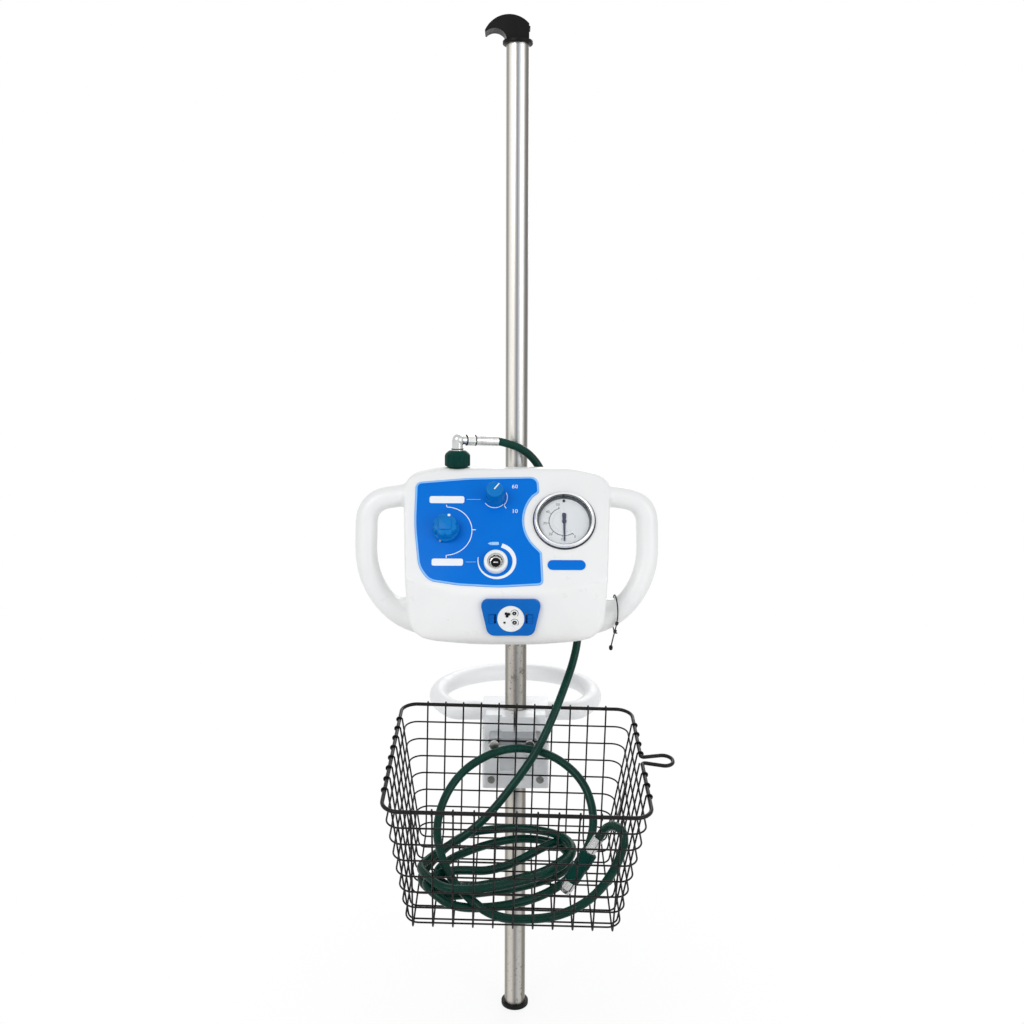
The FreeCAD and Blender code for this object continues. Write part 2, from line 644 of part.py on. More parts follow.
def ring_wire(level, y_sign, along_x):
    """One wall's share of a level wire: straight, with half a rounded corner at each end."""
    depth = -mesh_pitch * level
    long_half = (rim_half_width if along_x else rim_half_depth) - 1.3 + depth * basket_taper
    wall = (rim_half_depth if along_x else rim_half_width) - 1.3 + depth * basket_taper
    bend = rim_corner - 4
    half_turn = math.radians(45)

    def turned(sign, angle):
        return vec(sign * (long_half - bend + bend * math.sin(angle)),
                   -y_sign * (wall - bend + bend * math.cos(angle)), depth)

    points = [turned(-1, half_turn), turned(-1, half_turn / 2), turned(-1, 0),
              turned(1, 0), turned(1, half_turn / 2), turned(1, half_turn)]
    edges = [Part.Arc(points[0], points[1], points[2]).toShape(),
             Part.LineSegment(points[2], points[3]).toShape(),
             Part.Arc(points[3], points[4], points[5]).toShape()]
    wire = swept(Part.Wire(edges), mesh_wire)
    if not along_x:
        wire.rotate(vec(0, 0, 0), Z_AXIS, 90)
    return wire


def rim_path():
    side = rim_half_width
    ends = rim_half_depth
    eye = -2.0
    corners = [
        (side, ends, rim_corner), (-side, ends, rim_corner), (-side, -ends, rim_corner), (side, -ends, rim_corner),
        (side, eye - 6.5, 4.0), (side + 41, eye - 16, 12.0), (side + 41, eye + 16, 12.0), (side, eye + 6.5, 4.0),
    ]
    return flat_outline(corners)


def make_basket():
    save("basket_rim", basket_place(swept(rim_path(), rim_wire)))
    along = [mesh_pitch * k for k in range(-5, 6)]
    across = [mesh_pitch * (k - 3.5) for k in range(8)]
    levels = range(1, 8)
    walls = (
        ("basket_front_wires", along, -1, True),
        ("basket_back_wires", along, 1, True),
        ("basket_left_wires", across, -1, False),
        ("basket_right_wires", across, 1, False),
    )
    for name, places, sign, along_y in walls:
        wires = [wall_wire(x, sign, along_y) for x in places]
        wires += [ring_wire(level, -sign if along_y else sign, along_y) for level in levels]
        save(name, *[basket_place(wire) for wire in wires])
    floor = [floor_wire(x, True) for x in along] + [floor_wire(y, False) for y in across]
    save("basket_floor_wires", *[basket_place(wire) for wire in floor])

    bar = block(-39, 31, -73.4, -43.4, 447.5, 458.5)
    bar = softened(bar, 4.0, lambda e: abs(e.BoundBox.YLength - 30.0) < 0.1)
    holes = [cylinder(2.0, 40, vec(x, -80, 450.6), Y_AXIS) for x in (-31, 20)]
    seat = block(-20.6, 28.6, -46.0, -40, 440, 470)
    save("basket_bracket", bar.cut(Part.makeCompound(holes)).cut(seat))
    screws = []
    for x in (-31, 20):
        shank = cylinder(1.95, 18, vec(x, -79.2, 450.6), Y_AXIS)
        screws.append(shank.fuse(softened(cylinder(7.0, 2.6, vec(x, -81.7, 450.6), Y_AXIS), 0.8)))
    save("bracket_screws", *screws)

    strap = Part.Face(Part.makePolygon([vec(-6, 0, 0), vec(6, 0, 0), vec(3.2, 60, 0), vec(-3.2, 60, 0), vec(-6, 0, 0)]))
    strap = strap.extrude(vec(0, 0, 2.2))
    tilt = math.degrees(math.atan(basket_taper))
    strap.Placement = FreeCAD.Placement(vec(0, 0, 0), FreeCAD.Rotation(Z_AXIS, 90).multiply(
        FreeCAD.Rotation(X_AXIS, 90)))
    strap.rotate(vec(0, 0, 0), Y_AXIS, tilt)
    strap.translate(vec(rim_half_width - 3.9 - 110 * basket_taper - 3.9, 25, -110))
    save("basket_strap", basket_place(strap))


# ---------------------------------------------------------------- hose and its fittings
def cord_path(points, name):
    """Straight runs joined by arcs as large as the runs allow."""
    radii = [0.0]
    for before, at, after in zip(points, points[1:], points[2:]):
        turn = (at - before).getAngle(after - at)
        radii.append(0.45 * min((at - before).Length, (after - at).Length) / math.tan(turn / 2))
    radii.append(0.0)
    path = rounded_path(points, radii)
    print(name, "radii", [round(r) for r in radii[1:-1]], "length", round(path.Length))
    return path


def make_cord(name, points, radius):
    points = [vec(*p) for p in points]
    path = cord_path(points, name)
    solid = swept(path, radius)
    ideal = math.pi * radius ** 2 * path.Length
    print(name, "volume against section times length", round(solid.Volume / ideal, 4))
    save(name, solid)


coil_middle = (-16.5, -3.0)
coil_half = (114.5, 98.0)
coil_band = 52.0
coil_height = 36.0
hose_supply_route = [
    (-27, -30.6, 882.2), (-2, -26.3, 876.3), (20.5, -25.2, 862.3), (37, -25, 838.5), (47.5, -24, 803),
    (59, -23, 752), (70, -22.5, 700), (82, -23.5, 650), (92, -29, 604), (84, -45, 566), (68, -72, 530),
    (50, -97, 492), (29, -114, 453), (0, -127, 415), (-33, -139, 376), (-66, -148, 347), (-97, -160, 327),
    (-114, -177, 322),
]
hose_arch_route = [
    (91, -191, 322), (104, -172, 352), (108, -147, 380), (96, -121, 412), (64, -101, 437), (26, -90.5, 449),
    (-11, -89, 449.5), (-48, -95, 438), (-80, -108, 418), (-102, -130, 389), (-110, -158, 357), (-101, -188, 334),
    (-92, -210, 321),
]
hose_end_route = [
    (-8, -270, 291.5), (20, -269.5, 290), (48, -266, 289.5), (73, -258, 294), (91, -258.5, 306.5),
    (105.7, -262, 322.7), (115.6, -268, 339.5), (125.4, -274, 360.5), (133, -278, 382.6), (136.5, -276, 399.4),
    (134.6, -268, 408), (126.4, -254, 409), (118, -241, 401), (112.5, -232, 389.5), (107.5, -232.6, 381.4),
]


def along(start, direction, distance):
    return start + direction * distance


def make_hose():
    make_cord("hose_supply_run", hose_supply_route, hose_radius)
    make_cord("hose_arch", hose_arch_route, hose_radius)
    make_cord("hose_end_run", hose_end_route, hose_radius)

    floor = -basket_height + 3 * mesh_wire + 0.6
    rings = []
    for half_x, half_y in ((coil_half[0], coil_half[1]), (coil_half[0] - coil_band, coil_half[1] - coil_band)):
        outline = Part.Ellipse(vec(coil_middle[0], coil_middle[1], floor), half_x, half_y).toShape()
        rings.append(Part.Face(Part.Wire([outline])).extrude(vec(0, 0, coil_height)))
    coil = basket_place(softened(rings[0].cut(rings[1]), 8.0))
    mouth = vec(*hose_end_route[-1])
    out = (mouth - vec(*hose_end_route[-2])).normalize()
    coil = coil.cut(cylinder(15.0, 130, along(mouth, out, 0), out))
    save("hose_coil", max(coil.Solids, key=lambda s: s.Volume))

    save("hose_ferrules", make_inlet_fittings(), make_end_fittings())


def make_inlet_fittings():
    ix, iy = inlet_axis
    base = inlet_seat + 2.9
    nut = fluted(17.8, 17, 12, 3.2, vec(ix, iy, base))
    dome = Part.makeCone(15.4, 11.5, 4.5, vec(ix, iy, base + 17), Z_AXIS)
    nut = nut.fuse(dome).cut(cylinder(7.9 + run_gap, 30, vec(ix, iy, base - 1)))
    save("inlet_hand_nut", nut)

    neck = cylinder(7.9, 7.0, vec(ix, iy, inlet_seat + 19.0)).cut(cylinder(4.0, 30, vec(ix, iy, inlet_seat)))
    save("inlet_nipple", neck)

    yaw = math.radians(hose_yaw)
    dip = math.radians(hose_dip)
    out = vec(math.cos(yaw) * math.cos(dip), math.sin(yaw) * math.cos(dip), -math.sin(dip))
    mouth = vec(*hose_supply_route[0])
    centre = along(mouth, out, -58.5)
    upright = cylinder(7.6, centre.z - inlet_seat - 26.0, vec(ix, iy, inlet_seat + 26.0))
    ball = Part.makeSphere(8.3, centre)
    arm = cylinder(6.2, 13, centre, out)
    save("hose_elbow", upright.fuse([ball, arm]).removeSplitter())

    hexagon = [(7.6 * math.cos(a), 7.6 * math.sin(a), 0.3) for a in [math.pi / 3 * i for i in range(6)]]
    nut = plate(hexagon, 12)
    nut.Placement = FreeCAD.Placement(along(centre, out, 13.02), FreeCAD.Rotation(Z_AXIS, out))
    save("hose_hex_nut", nut)

    start = along(centre, out, 25.05)
    sleeve = cylinder(7.1, 33.4, start, out)
    grooves = [tube(9, 6.6, 1.2, along(start, out, d), out) for d in (7, 13, 19, 25)]
    return sleeve.cut(Part.makeCompound(grooves))


def make_end_fittings():
    mouth = vec(*hose_end_route[-1])
    out = (mouth - vec(*hose_end_route[-2])).normalize()
    sleeve = cylinder(7.2, 21, along(mouth, out, 0.02), out)
    grooves = [tube(9, 6.7, 1.2, along(mouth, out, d), out) for d in (5, 10, 15)]
    end_sleeve = sleeve.cut(Part.makeCompound(grooves))

    nut = fluted(11.0, 22, 12, 2.0, vec(0, 0, 0)).fuse(cylinder(10.0, 45, vec(0, 0, 0)))
    nut = softened(nut, 1.2, lambda e: e.BoundBox.ZMin > 44.9).cut(cylinder(6.5 + run_gap, 50, vec(0, 0, -1)))
    nut.Placement = FreeCAD.Placement(along(mouth, out, 22.0), FreeCAD.Rotation(Z_AXIS, out))
    save("end_hand_nut", nut)

    nipple = cylinder(6.5, 47, along(mouth, out, 21.1), out)
    tip = Part.makeCone(8.5, 6.6, 6, along(mouth, out, 78), out)
    flange = cylinder(8.5, 11, along(mouth, out, 67.4), out)
    bore = cylinder(3.6, 70, along(mouth, out, 21), out)
    save("end_nipple", nipple.fuse([tip, flange]).cut(bore))
    return end_sleeve


# ---------------------------------------------------------------- tether
tether_route = [
    (139.5, -104, 622), (138, -91, 617.5), (136.5, -75, 626), (135.5, -68, 648), (136, -74, 671), (136.8, -88, 684),
    (138, -103, 681), (139.5, -111, 667), (140, -111.5, 651), (138.5, -110.5, 636), (134.5, -110, 620),
    (131.5, -110, 606),
]


def make_tether():
    make_cord("tether_cord", tether_route, 0.9)
    bead = softened(cylinder(2.6, 6.5, vec(131.0, -110, 599.3)), 0.8)
    save("tether_bead", bead)


os.makedirs("parts", exist_ok=True)
make_pole()
make_shells()
make_panel()
make_controls()
make_gauge()
make_connector()
make_air_system()
make_console_clamp()
make_loop_handle()
make_basket()
make_hose()
make_tether()
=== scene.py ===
import bpy
import bmesh
from math import sin, cos, tan, pi, radians, atan2
from mathutils import Vector, Matrix


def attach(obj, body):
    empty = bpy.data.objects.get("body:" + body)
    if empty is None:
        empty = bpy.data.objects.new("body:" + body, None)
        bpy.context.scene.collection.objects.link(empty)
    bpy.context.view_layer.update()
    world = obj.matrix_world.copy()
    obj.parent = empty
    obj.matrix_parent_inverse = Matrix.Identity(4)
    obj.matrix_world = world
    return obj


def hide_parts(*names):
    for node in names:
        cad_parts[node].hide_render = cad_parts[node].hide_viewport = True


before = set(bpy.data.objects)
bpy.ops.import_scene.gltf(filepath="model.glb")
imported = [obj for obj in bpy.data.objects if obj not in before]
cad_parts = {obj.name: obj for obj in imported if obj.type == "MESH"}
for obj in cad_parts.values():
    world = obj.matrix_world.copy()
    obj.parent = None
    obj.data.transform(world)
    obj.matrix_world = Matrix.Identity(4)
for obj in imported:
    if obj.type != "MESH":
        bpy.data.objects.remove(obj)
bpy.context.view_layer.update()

mm = 0.001
scene = bpy.context.scene
standBody = "stand"


# ---- small shape helpers: everything below is drawn in millimetres and stored in metres

def placedMesh(name, points, faces, place=Matrix.Identity(4)):
    mesh = bpy.data.meshes.new(name)
    mesh.from_pydata([place @ (Vector(p) * mm) for p in points], [], faces)
    work = bmesh.new()
    work.from_mesh(mesh)
    bmesh.ops.remove_doubles(work, verts=work.verts, dist=1e-7)
    bmesh.ops.recalc_face_normals(work, faces=work.faces)
    work.to_mesh(mesh)
    work.free()
    return mesh


def softShade(mesh, angle=32):
    mesh.polygons.foreach_set("use_smooth", [True] * len(mesh.polygons))
    mesh.set_sharp_from_angle(angle=radians(angle))


def addPiece(name, mesh, finish, body=standBody, stands=(), angle=32):
    piece = looseObject(name, mesh)
    mesh.materials.clear()
    mesh.materials.append(finishes[finish])
    softShade(mesh, angle)
    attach(piece, body)
    if stands:
        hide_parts(*stands)
    return piece


def dressNodes(finish, bevel, *nodes, angle=30):
    for node in nodes:
        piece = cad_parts[node]
        piece.data.materials.clear()
        piece.data.materials.append(finishes[finish])
        softShade(piece.data, angle)
        if bevel:
            edge = piece.modifiers.new("edge", "BEVEL")
            edge.width = bevel * mm
            edge.segments = 2
            edge.limit_method = "ANGLE"
            edge.angle_limit = radians(40)
            edge.harden_normals = True


def cornerArc(before, at, after, radius, steps):
    # the arc that rounds the corner between two straight runs
    back = (before - at).normalized()
    ahead = (after - at).normalized()
    half = back.angle(ahead) / 2
    centre = at + (back + ahead).normalized() * (radius / sin(half))
    first = at + back * (radius / tan(half)) - centre
    last = at + ahead * (radius / tan(half)) - centre
    swing = first.angle_signed(last)
    return [centre + Matrix.Rotation(-swing * k / steps, 2) @ first for k in range(steps + 1)]


def cornered(corners, steps=8):
    # rounded outline from (x, y, radius) corners
    places = [Vector(corner[:2]) for corner in corners]
    outline = []
    for i, at in enumerate(places):
        radius = corners[i][2]
        if radius > 0:
            outline += cornerArc(places[i - 1], at, places[(i + 1) % len(places)], radius, steps)
        else:
            outline.append(at)
    return outline


def roundedBox(x0, y0, x1, y1, radius, steps):
    return cornered([(x0, y0, radius), (x1, y0, radius), (x1, y1, radius), (x0, y1, radius)], steps)


def shrunk(outline, distance):
    # the same outline moved inwards, for edges and borders
    count = len(outline)
    area = sum(outline[i].cross(outline[(i + 1) % count]) for i in range(count))
    side = 1 if area > 0 else -1
    moved = []
    for i, at in enumerate(outline):
        before = (at - outline[i - 1]).normalized()
        after = (outline[(i + 1) % count] - at).normalized()
        along = (before + after).normalized()
        moved.append(at + Vector((-along.y, along.x)) * side * distance)
    return moved


def ringFaces(rows, count):
    # four-sided faces between each ring of points and the next
    faces = []
    for r in range(rows - 1):
        for i in range(count):
            j = (i + 1) % count
            faces.append((r * count + i, r * count + j, (r + 1) * count + j, (r + 1) * count + i))
    return faces


def slabShape(outline, low, high, edge=0.0):
    # flat plate with a small rounded top edge
    rings = [(outline, low), (outline, high - edge)]
    if edge:
        rings.append((shrunk(outline, edge * 0.3), high - edge * 0.3))
        rings.append((shrunk(outline, edge), high))
    count = len(outline)
    points = [(p.x, p.y, z) for ring, z in rings for p in ring]
    ends = [tuple(range(count))[::-1], tuple(range((len(rings) - 1) * count, len(rings) * count))]
    return points, ends + ringFaces(len(rings), count)


def ribbonShape(line, widths, low, high):
    # a printed line with its own thickness; widths is one number or one for each point
    if not isinstance(widths, (list, tuple)):
        widths = [widths] * len(line)
    left = []
    right = []
    for i, at in enumerate(line):
        ahead = line[min(i + 1, len(line) - 1)]
        back = line[max(i - 1, 0)]
        along = (Vector(ahead) - Vector(back)).normalized()
        across = Vector((-along.y, along.x)) * widths[i] / 2
        left.append(Vector(at) + across)
        right.append(Vector(at) - across)
    return slabShape(left + right[::-1], low, high)


def arcLine(centre, radius, start, end, steps=40):
    angles = [radians(start + (end - start) * k / steps) for k in range(steps + 1)]
    return [(centre[0] + radius * cos(a), centre[1] + radius * sin(a)) for a in angles]


def turnedShape(profile, steps=72, wave=None):
    # profile of (radius, height); wave(angle, height) scales the radius
    points = []
    for radius, height in profile:
        for k in range(steps):
            a = 2 * pi * k / steps
            r = max(radius, 1e-5) * (wave(a, height) if wave else 1.0)
            points.append((r * cos(a), r * sin(a), height))
    return points, ringFaces(len(profile), steps)


def ribs(count, depth, low, high, power=2):
    # a wave for turnedShape: count grooves between two heights
    def wave(angle, height):
        return 1 - (depth * (0.5 + 0.5 * cos(count * angle)) ** power if low < height < high else 0)
    return wave


def shifted(shape, x=0.0, y=0.0, z=0.0):
    points, faces = shape
    return [(p[0] + x, p[1] + y, p[2] + z) for p in points], faces


def together(shapes):
    points = []
    faces = []
    for more, sides in shapes:
        base = len(points)
        points += [tuple(p) for p in more]
        faces += [tuple(base + i for i in side) for side in sides]
    return points, faces


def numeralShapes(words, size, low, high):
    # generic numbers, centred on (x, y), as thin raised print
    shapes = []
    for word, x, y in words:
        curve = bpy.data.curves.new("numeral", "FONT")
        curve.body = word
        curve.size = size
        curve.align_x = "CENTER"
        curve.align_y = "CENTER"
        curve.resolution_u = 2
        mesh = bakedMesh(looseObject("numeral", curve))
        work = bmesh.new()
        made = [work.verts.new((v.co.x + x, v.co.y + y, low)) for v in mesh.vertices]
        for side in mesh.polygons:
            work.faces.new([made[i] for i in side.vertices])
        bpy.data.meshes.remove(mesh)
        grown = bmesh.ops.extrude_face_region(work, geom=work.faces[:])
        raised = [g for g in grown["geom"] if isinstance(g, bmesh.types.BMVert)]
        bmesh.ops.translate(work, verts=raised, vec=(0, 0, high - low))
        work.verts.index_update()
        shapes.append(([tuple(v.co) for v in work.verts], [tuple(v.index for v in f.verts) for f in work.faces]))
        work.free()
    return shapes


def tubeCurve(name, routes, radius, sides, resolution=10, kind="NURBS"):
    curve = bpy.data.curves.new(name, "CURVE")
    curve.dimensions = "3D"
    curve.bevel_depth = radius * mm
    curve.bevel_resolution = sides
    curve.use_fill_caps = True
    curve.resolution_u = resolution
    for route in routes:
        spline = curve.splines.new(kind)
        spline.points.add(len(route) - 1)
        for point, at in zip(spline.points, route):
            point.co = (at[0] * mm, at[1] * mm, at[2] * mm, 1)
        spline.order_u = 3
        spline.use_endpoint_u = True
        spline.use_smooth = True
    return curve


def rodPiece(name, routes, radius, finish, sides=6, resolution=10):
    curve = tubeCurve(name, routes, radius, sides, resolution)
    piece = looseObject(name, curve)
    curve.materials.append(finishes[finish])
    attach(piece, standBody)
    return piece


def looseObject(name, data):
    piece = bpy.data.objects.new(name, data)
    scene.collection.objects.link(piece)
    return piece


def bakedMesh(holder):
    # the shape of a working object with its modifiers; the object itself goes
    bpy.context.view_layer.update()
    seen = holder.evaluated_get(bpy.context.evaluated_depsgraph_get())
    mesh = bpy.data.meshes.new_from_object(seen)
    bpy.data.objects.remove(holder)
    return mesh


def booleanMesh(mesh, cutter, operation):
    base = looseObject("base", mesh)
    tool = looseObject("tool", cutter)
    cut = base.modifiers.new("cut", "BOOLEAN")
    cut.operation = operation
    cut.object = tool
    cut.solver = "EXACT"
    result = bakedMesh(base)
    bpy.data.objects.remove(tool)
    return result


# ---- finishes

class Wiring:
    # the nodes of one material, or of the world
    def __init__(self, owner):
        owner.use_nodes = True
        self.nodes = owner.node_tree.nodes
        self.links = owner.node_tree.links

    def feed(self, socket, value):
        if isinstance(value, bpy.types.NodeSocket):
            self.links.new(value, socket)
        elif socket.type == "RGBA":
            socket.default_value = (*value, 1)
        else:
            socket.default_value = value

    def add(self, kind, output, *ordered, **named):
        # a name with a capital is an input, any other is one of the node's settings
        node = self.nodes.new("ShaderNode" + kind)
        for socket, value in zip(node.inputs, ordered):
            self.feed(socket, value)
        for key, value in named.items():
            if key[0].isupper():
                self.feed(node.inputs[key.replace("_", " ")], value)
            else:
                setattr(node, key, value)
        return node.outputs[output]

    def show(self, surface):
        out = next(node for node in self.nodes if node.type.startswith("OUTPUT"))
        self.feed(out.inputs["Surface"], surface)


class FinishBuilder(Wiring):
    def __init__(self, name):
        self.material = bpy.data.materials.new(name)
        super().__init__(self.material)
        self.shader = self.nodes["Principled BSDF"]
        self.place = self.add("TexCoord", "Object")

    def set(self, **values):
        for key, value in values.items():
            self.feed(self.shader.inputs[key.replace("_", " ")], value)

    def stretched(self, x, y, z):
        return self.add("Mapping", "Vector", Vector=self.place, Scale=(x, y, z))

    def noise(self, scale, detail=4, rough=0.55, place=None):
        return self.add("TexNoise", "Fac", Vector=place or self.place, Scale=scale, Detail=detail, Roughness=rough)

    def between(self, value, low, high, bottom=0.0, top=1.0):
        return self.add("MapRange", "Result", Value=value, From_Min=low, From_Max=high, To_Min=bottom, To_Max=top)

    def mixed(self, share, first, second):
        return self.add("Mix", "Result", data_type="RGBA", Factor=share, A=first, B=second)

    def over(self, share, colour):
        # another colour on top of the base colour, where share says
        base = self.shader.inputs["Base Color"].links[0].from_socket
        self.set(Base_Color=self.mixed(share, base, colour))

    def product(self, first, second, operation="MULTIPLY"):
        return self.add("Math", "Value", first, second, operation=operation, use_clamp=True)

    def axis(self, letter):
        return self.add("SeparateXYZ", letter, Vector=self.place)

    def turned(self, x, y):
        # how far round the piece, from 0 to 1 over each half turn, with 0.5 facing -Y
        back = self.add("Math", "Value", y, -1.0, operation="MULTIPLY")
        angle = self.add("Math", "Value", x, back, operation="ARCTAN2")
        half = self.add("Math", "Value", angle, 1 / pi, 0.5, operation="MULTIPLY_ADD")
        return self.add("Math", "Value", half, operation="FRACT")

    def banded(self, value, stops):
        ramp = self.nodes.new("ShaderNodeValToRGB")
        while len(ramp.color_ramp.elements) < len(stops):
            ramp.color_ramp.elements.new(0.5)
        for element, (at, colour) in zip(ramp.color_ramp.elements, stops):
            element.position = at
            element.color = (*colour, 1)
        self.feed(ramp.inputs["Fac"], value)
        return ramp.outputs["Color"]

    def roughened(self, value, strength, depth=0.0004):
        self.set(Normal=self.add("Bump", "Normal", Height=value, Strength=strength, Distance=depth))


def mouldedFinish(name, colour, shade, gloss, grain=0.12, grainScale=1400, metal=0.0, coat=0.0, patches=16,
                  spread=0.1, specular=0.5):
    # moulded, painted or cast surface: two near colours in soft patches, uneven gloss, fine grain
    f = FinishBuilder(name)
    cloud = f.noise(patches, 5, 0.6)
    f.set(Base_Color=f.mixed(f.between(cloud, 0.34, 0.68), colour, shade))
    f.set(Roughness=f.between(f.noise(patches * 5, 4), 0.3, 0.7, max(gloss - spread, 0.02), gloss + spread))
    f.set(Metallic=metal, Coat_Weight=coat, Specular_IOR_Level=specular)
    f.roughened(f.noise(grainScale, 3), grain)
    return f


def stainlessFinish():
    # drawn tube: painted reflections as warm, bright and dark bands round it, fine lengthwise lines, scuffs where the
    # clamps slide
    f = FinishBuilder("satin_stainless")
    turn = f.turned(f.axis("X"), f.axis("Y"))
    # painted reflections: light and dark bands set by how far round the tube a point is, fixed on the tube from any
    # view
    f.set(Base_Color=f.banded(turn, [
        (0.0, (0.55, 0.54, 0.51)), (0.10, (0.32, 0.31, 0.29)), (0.19, (0.27, 0.26, 0.23)),
        (0.27, (0.84, 0.82, 0.74)), (0.33, (0.98, 0.96, 0.92)), (0.41, (0.90, 0.86, 0.79)),
        (0.45, (0.48, 0.45, 0.42)), (0.50, (0.22, 0.235, 0.27)), (0.56, (0.58, 0.61, 0.62)),
        (0.62, (0.76, 0.76, 0.73)), (0.69, (0.72, 0.71, 0.68)), (0.74, (0.24, 0.23, 0.215)),
        (0.82, (0.11, 0.105, 0.095)), (0.92, (0.26, 0.255, 0.24)), (1.0, (0.55, 0.54, 0.51)),
    ]))
    lines = f.noise(90, 4, 0.6, f.stretched(40, 40, 0.7))
    height = f.axis("Z")
    f.over(f.between(height, 0.86, 0.60, 0.0, 0.42), (0.24, 0.20, 0.15))  # painted shade: darker and warmer lower down
    f.over(f.between(lines, 0.3, 0.75, 0.0, 0.25), (0.20, 0.19, 0.17))
    under = f.product(f.between(height, 0.47, 0.53), f.between(height, 0.63, 0.60))
    low = f.between(height, 0.20, 0.0)
    worn = f.product(f.between(f.noise(210, 3, 0.7), 0.60, 0.66), f.product(under, low, "ADD"))
    rubbed = f.product(f.between(f.noise(46, 4, 0.7), 0.58, 0.70), f.product(under, 0.75))
    f.over(f.product(worn, rubbed, "ADD"), (0.07, 0.055, 0.045))
    f.set(Roughness=f.between(lines, 0.3, 0.8, 0.26, 0.42), Metallic=0.6)
    f.roughened(lines, 0.12, 0.0002)
    return f.material


def shellFinish():
    # moulded plastic with faint hand marks, warmer low down
    f = mouldedFinish("white_shell_plastic", (0.83, 0.835, 0.83), (0.79, 0.795, 0.79), 0.36, 0.05, 900, coat=0.12,
                      patches=7)
    f.over(f.between(f.noise(55, 3, 0.75, f.stretched(1.0, 1.0, 0.35)), 0.70, 0.76, 0.0, 0.10), (0.45, 0.44, 0.42))
    below = f.between(f.axis("Z"), 0.66, 0.60)
    f.over(f.product(below, f.between(f.noise(18, 4), 0.3, 0.8, 0.25, 0.6)), (0.74, 0.72, 0.68))
    return f.material


def hoseFinish():
    # rubber with a dull bloom in places
    f = mouldedFinish("green_hose_rubber", (0.0005, 0.040, 0.027), (0.0003, 0.026, 0.018), 0.28, 0.10, 700,
                      patches=30, spread=0.08, specular=0.14, coat=0.03)
    f.over(f.between(f.noise(22, 5, 0.7), 0.56, 0.72, 0.0, 0.30), (0.004, 0.060, 0.042))
    return f.material


def wireFinish():
    # dipped coating: glossy black, greyer on the worn high spots
    f = mouldedFinish("coated_basket_wire", (0.004, 0.004, 0.004), (0.009, 0.008, 0.008), 0.34, 0.2, 500,
                      patches=60, specular=0.18)
    f.over(f.between(f.noise(130, 3, 0.7), 0.66, 0.72, 0.0, 0.5), (0.06, 0.057, 0.054))
    return f.material


def castFinish():
    # painted casting with a pebbled skin and a few chipped spots
    f = mouldedFinish("painted_casting", (0.88, 0.89, 0.9), (0.8, 0.82, 0.84), 0.42, 0.35, 420, patches=20, coat=0.05)
    f.over(f.between(f.noise(95, 3, 0.75), 0.68, 0.70, 0.0, 0.8), (0.34, 0.35, 0.36))
    return f.material


def lensFinish():
    # thin clear window: mostly see-through, a slight gloss and faint smears
    f = FinishBuilder("clear_gauge_window")
    f.nodes.remove(f.shader)
    smears = f.between(f.noise(30, 3), 0.3, 0.7, 0.02, 0.07)
    gloss = f.add("BsdfGlossy", "BSDF", Roughness=smears)
    edge = f.add("Fresnel", "Fac", IOR=1.35)
    f.show(f.add("MixShader", "Shader", edge, f.add("BsdfTransparent", "BSDF"), gloss))
    return f.material


finishValues = {  # name, two near colours, gloss, grain and its scale, and what else differs
    "panelBlue": ("blue_panel_print", (0, 0.162, 0.66), (0, 0.15, 0.62), 0.38, 0.05, 1500,
                  {"patches": 9, "specular": 0.08}),
    "panelEdge": ("pale_blue_border", (0.25, 0.55, 0.93), (0.22, 0.50, 0.90), 0.4, 0.05, 1500, {"specular": 0.2}),
    "print": ("white_print", (0.86, 0.88, 0.90), (0.80, 0.83, 0.87), 0.45, 0.05, 1500, {"specular": 0.2}),
    "paleLine": ("pale_line_print", (0.36, 0.62, 0.93), (0.30, 0.56, 0.9), 0.45, 0.05, 1500, {}),
    "knob": ("blue_knob_plastic", (0, 0.185, 0.56), (0, 0.15, 0.48), 0.34, 0.14, 1100, {"specular": 0.16}),
    "block": ("blue_block_plastic", (0, 0.135, 0.51), (0, 0.115, 0.46), 0.36, 0.1, 1000, {"specular": 0.12}),
    "whitePart": ("white_moulded_part", (0.82, 0.83, 0.83), (0.76, 0.77, 0.77), 0.3, 0.06, 1400, {}),
    "loop": ("white_loop_paint", (0.86, 0.865, 0.87), (0.83, 0.835, 0.84), 0.4, 0.05, 700, {}),
    "dial": ("gauge_dial_paint", (0.95, 0.98, 1.0), (0.92, 0.96, 0.99), 0.5, 0.04, 1800, {}),
    "ink": ("dial_ink", (0.045, 0.055, 0.075), (0.08, 0.09, 0.11), 0.6, 0.05, 1800, {"specular": 0.2}),
    "navy": ("navy_needle_paint", (0.018, 0.033, 0.085), (0.012, 0.024, 0.07), 0.45, 0.05, 1400, {}),
    "black": ("black_moulded_plastic", (0.003, 0.003, 0.0035), (0.007, 0.007, 0.0075), 0.42, 0.3, 700,
              {"specular": 0.12}),
    "hole": ("dark_port_bore", (0.002, 0.002, 0.003), (0.005, 0.005, 0.005), 0.6, 0.1, 1400, {"specular": 0.15}),
    "rubber": ("black_rubber_foot", (0.006, 0.006, 0.006), (0.012, 0.012, 0.011), 0.6, 0.5, 500,
               {"specular": 0.15}),
    "greenNut": ("green_nut_plastic", (0.0005, 0.044, 0.034), (0.0004, 0.030, 0.023), 0.42, 0.2, 800,
                 {"specular": 0.08}),
    "string": ("black_braided_string", (0.014, 0.014, 0.015), (0.035, 0.034, 0.034), 0.75, 0.9, 1800, {}),
    "grey": ("grey_moulded_part", (0.42, 0.44, 0.46), (0.36, 0.375, 0.39), 0.42, 0.2, 1400, {}),
    "clearTube": ("milky_air_tube", (0.62, 0.65, 0.66), (0.55, 0.58, 0.6), 0.3, 0.05, 1400, {}),
}
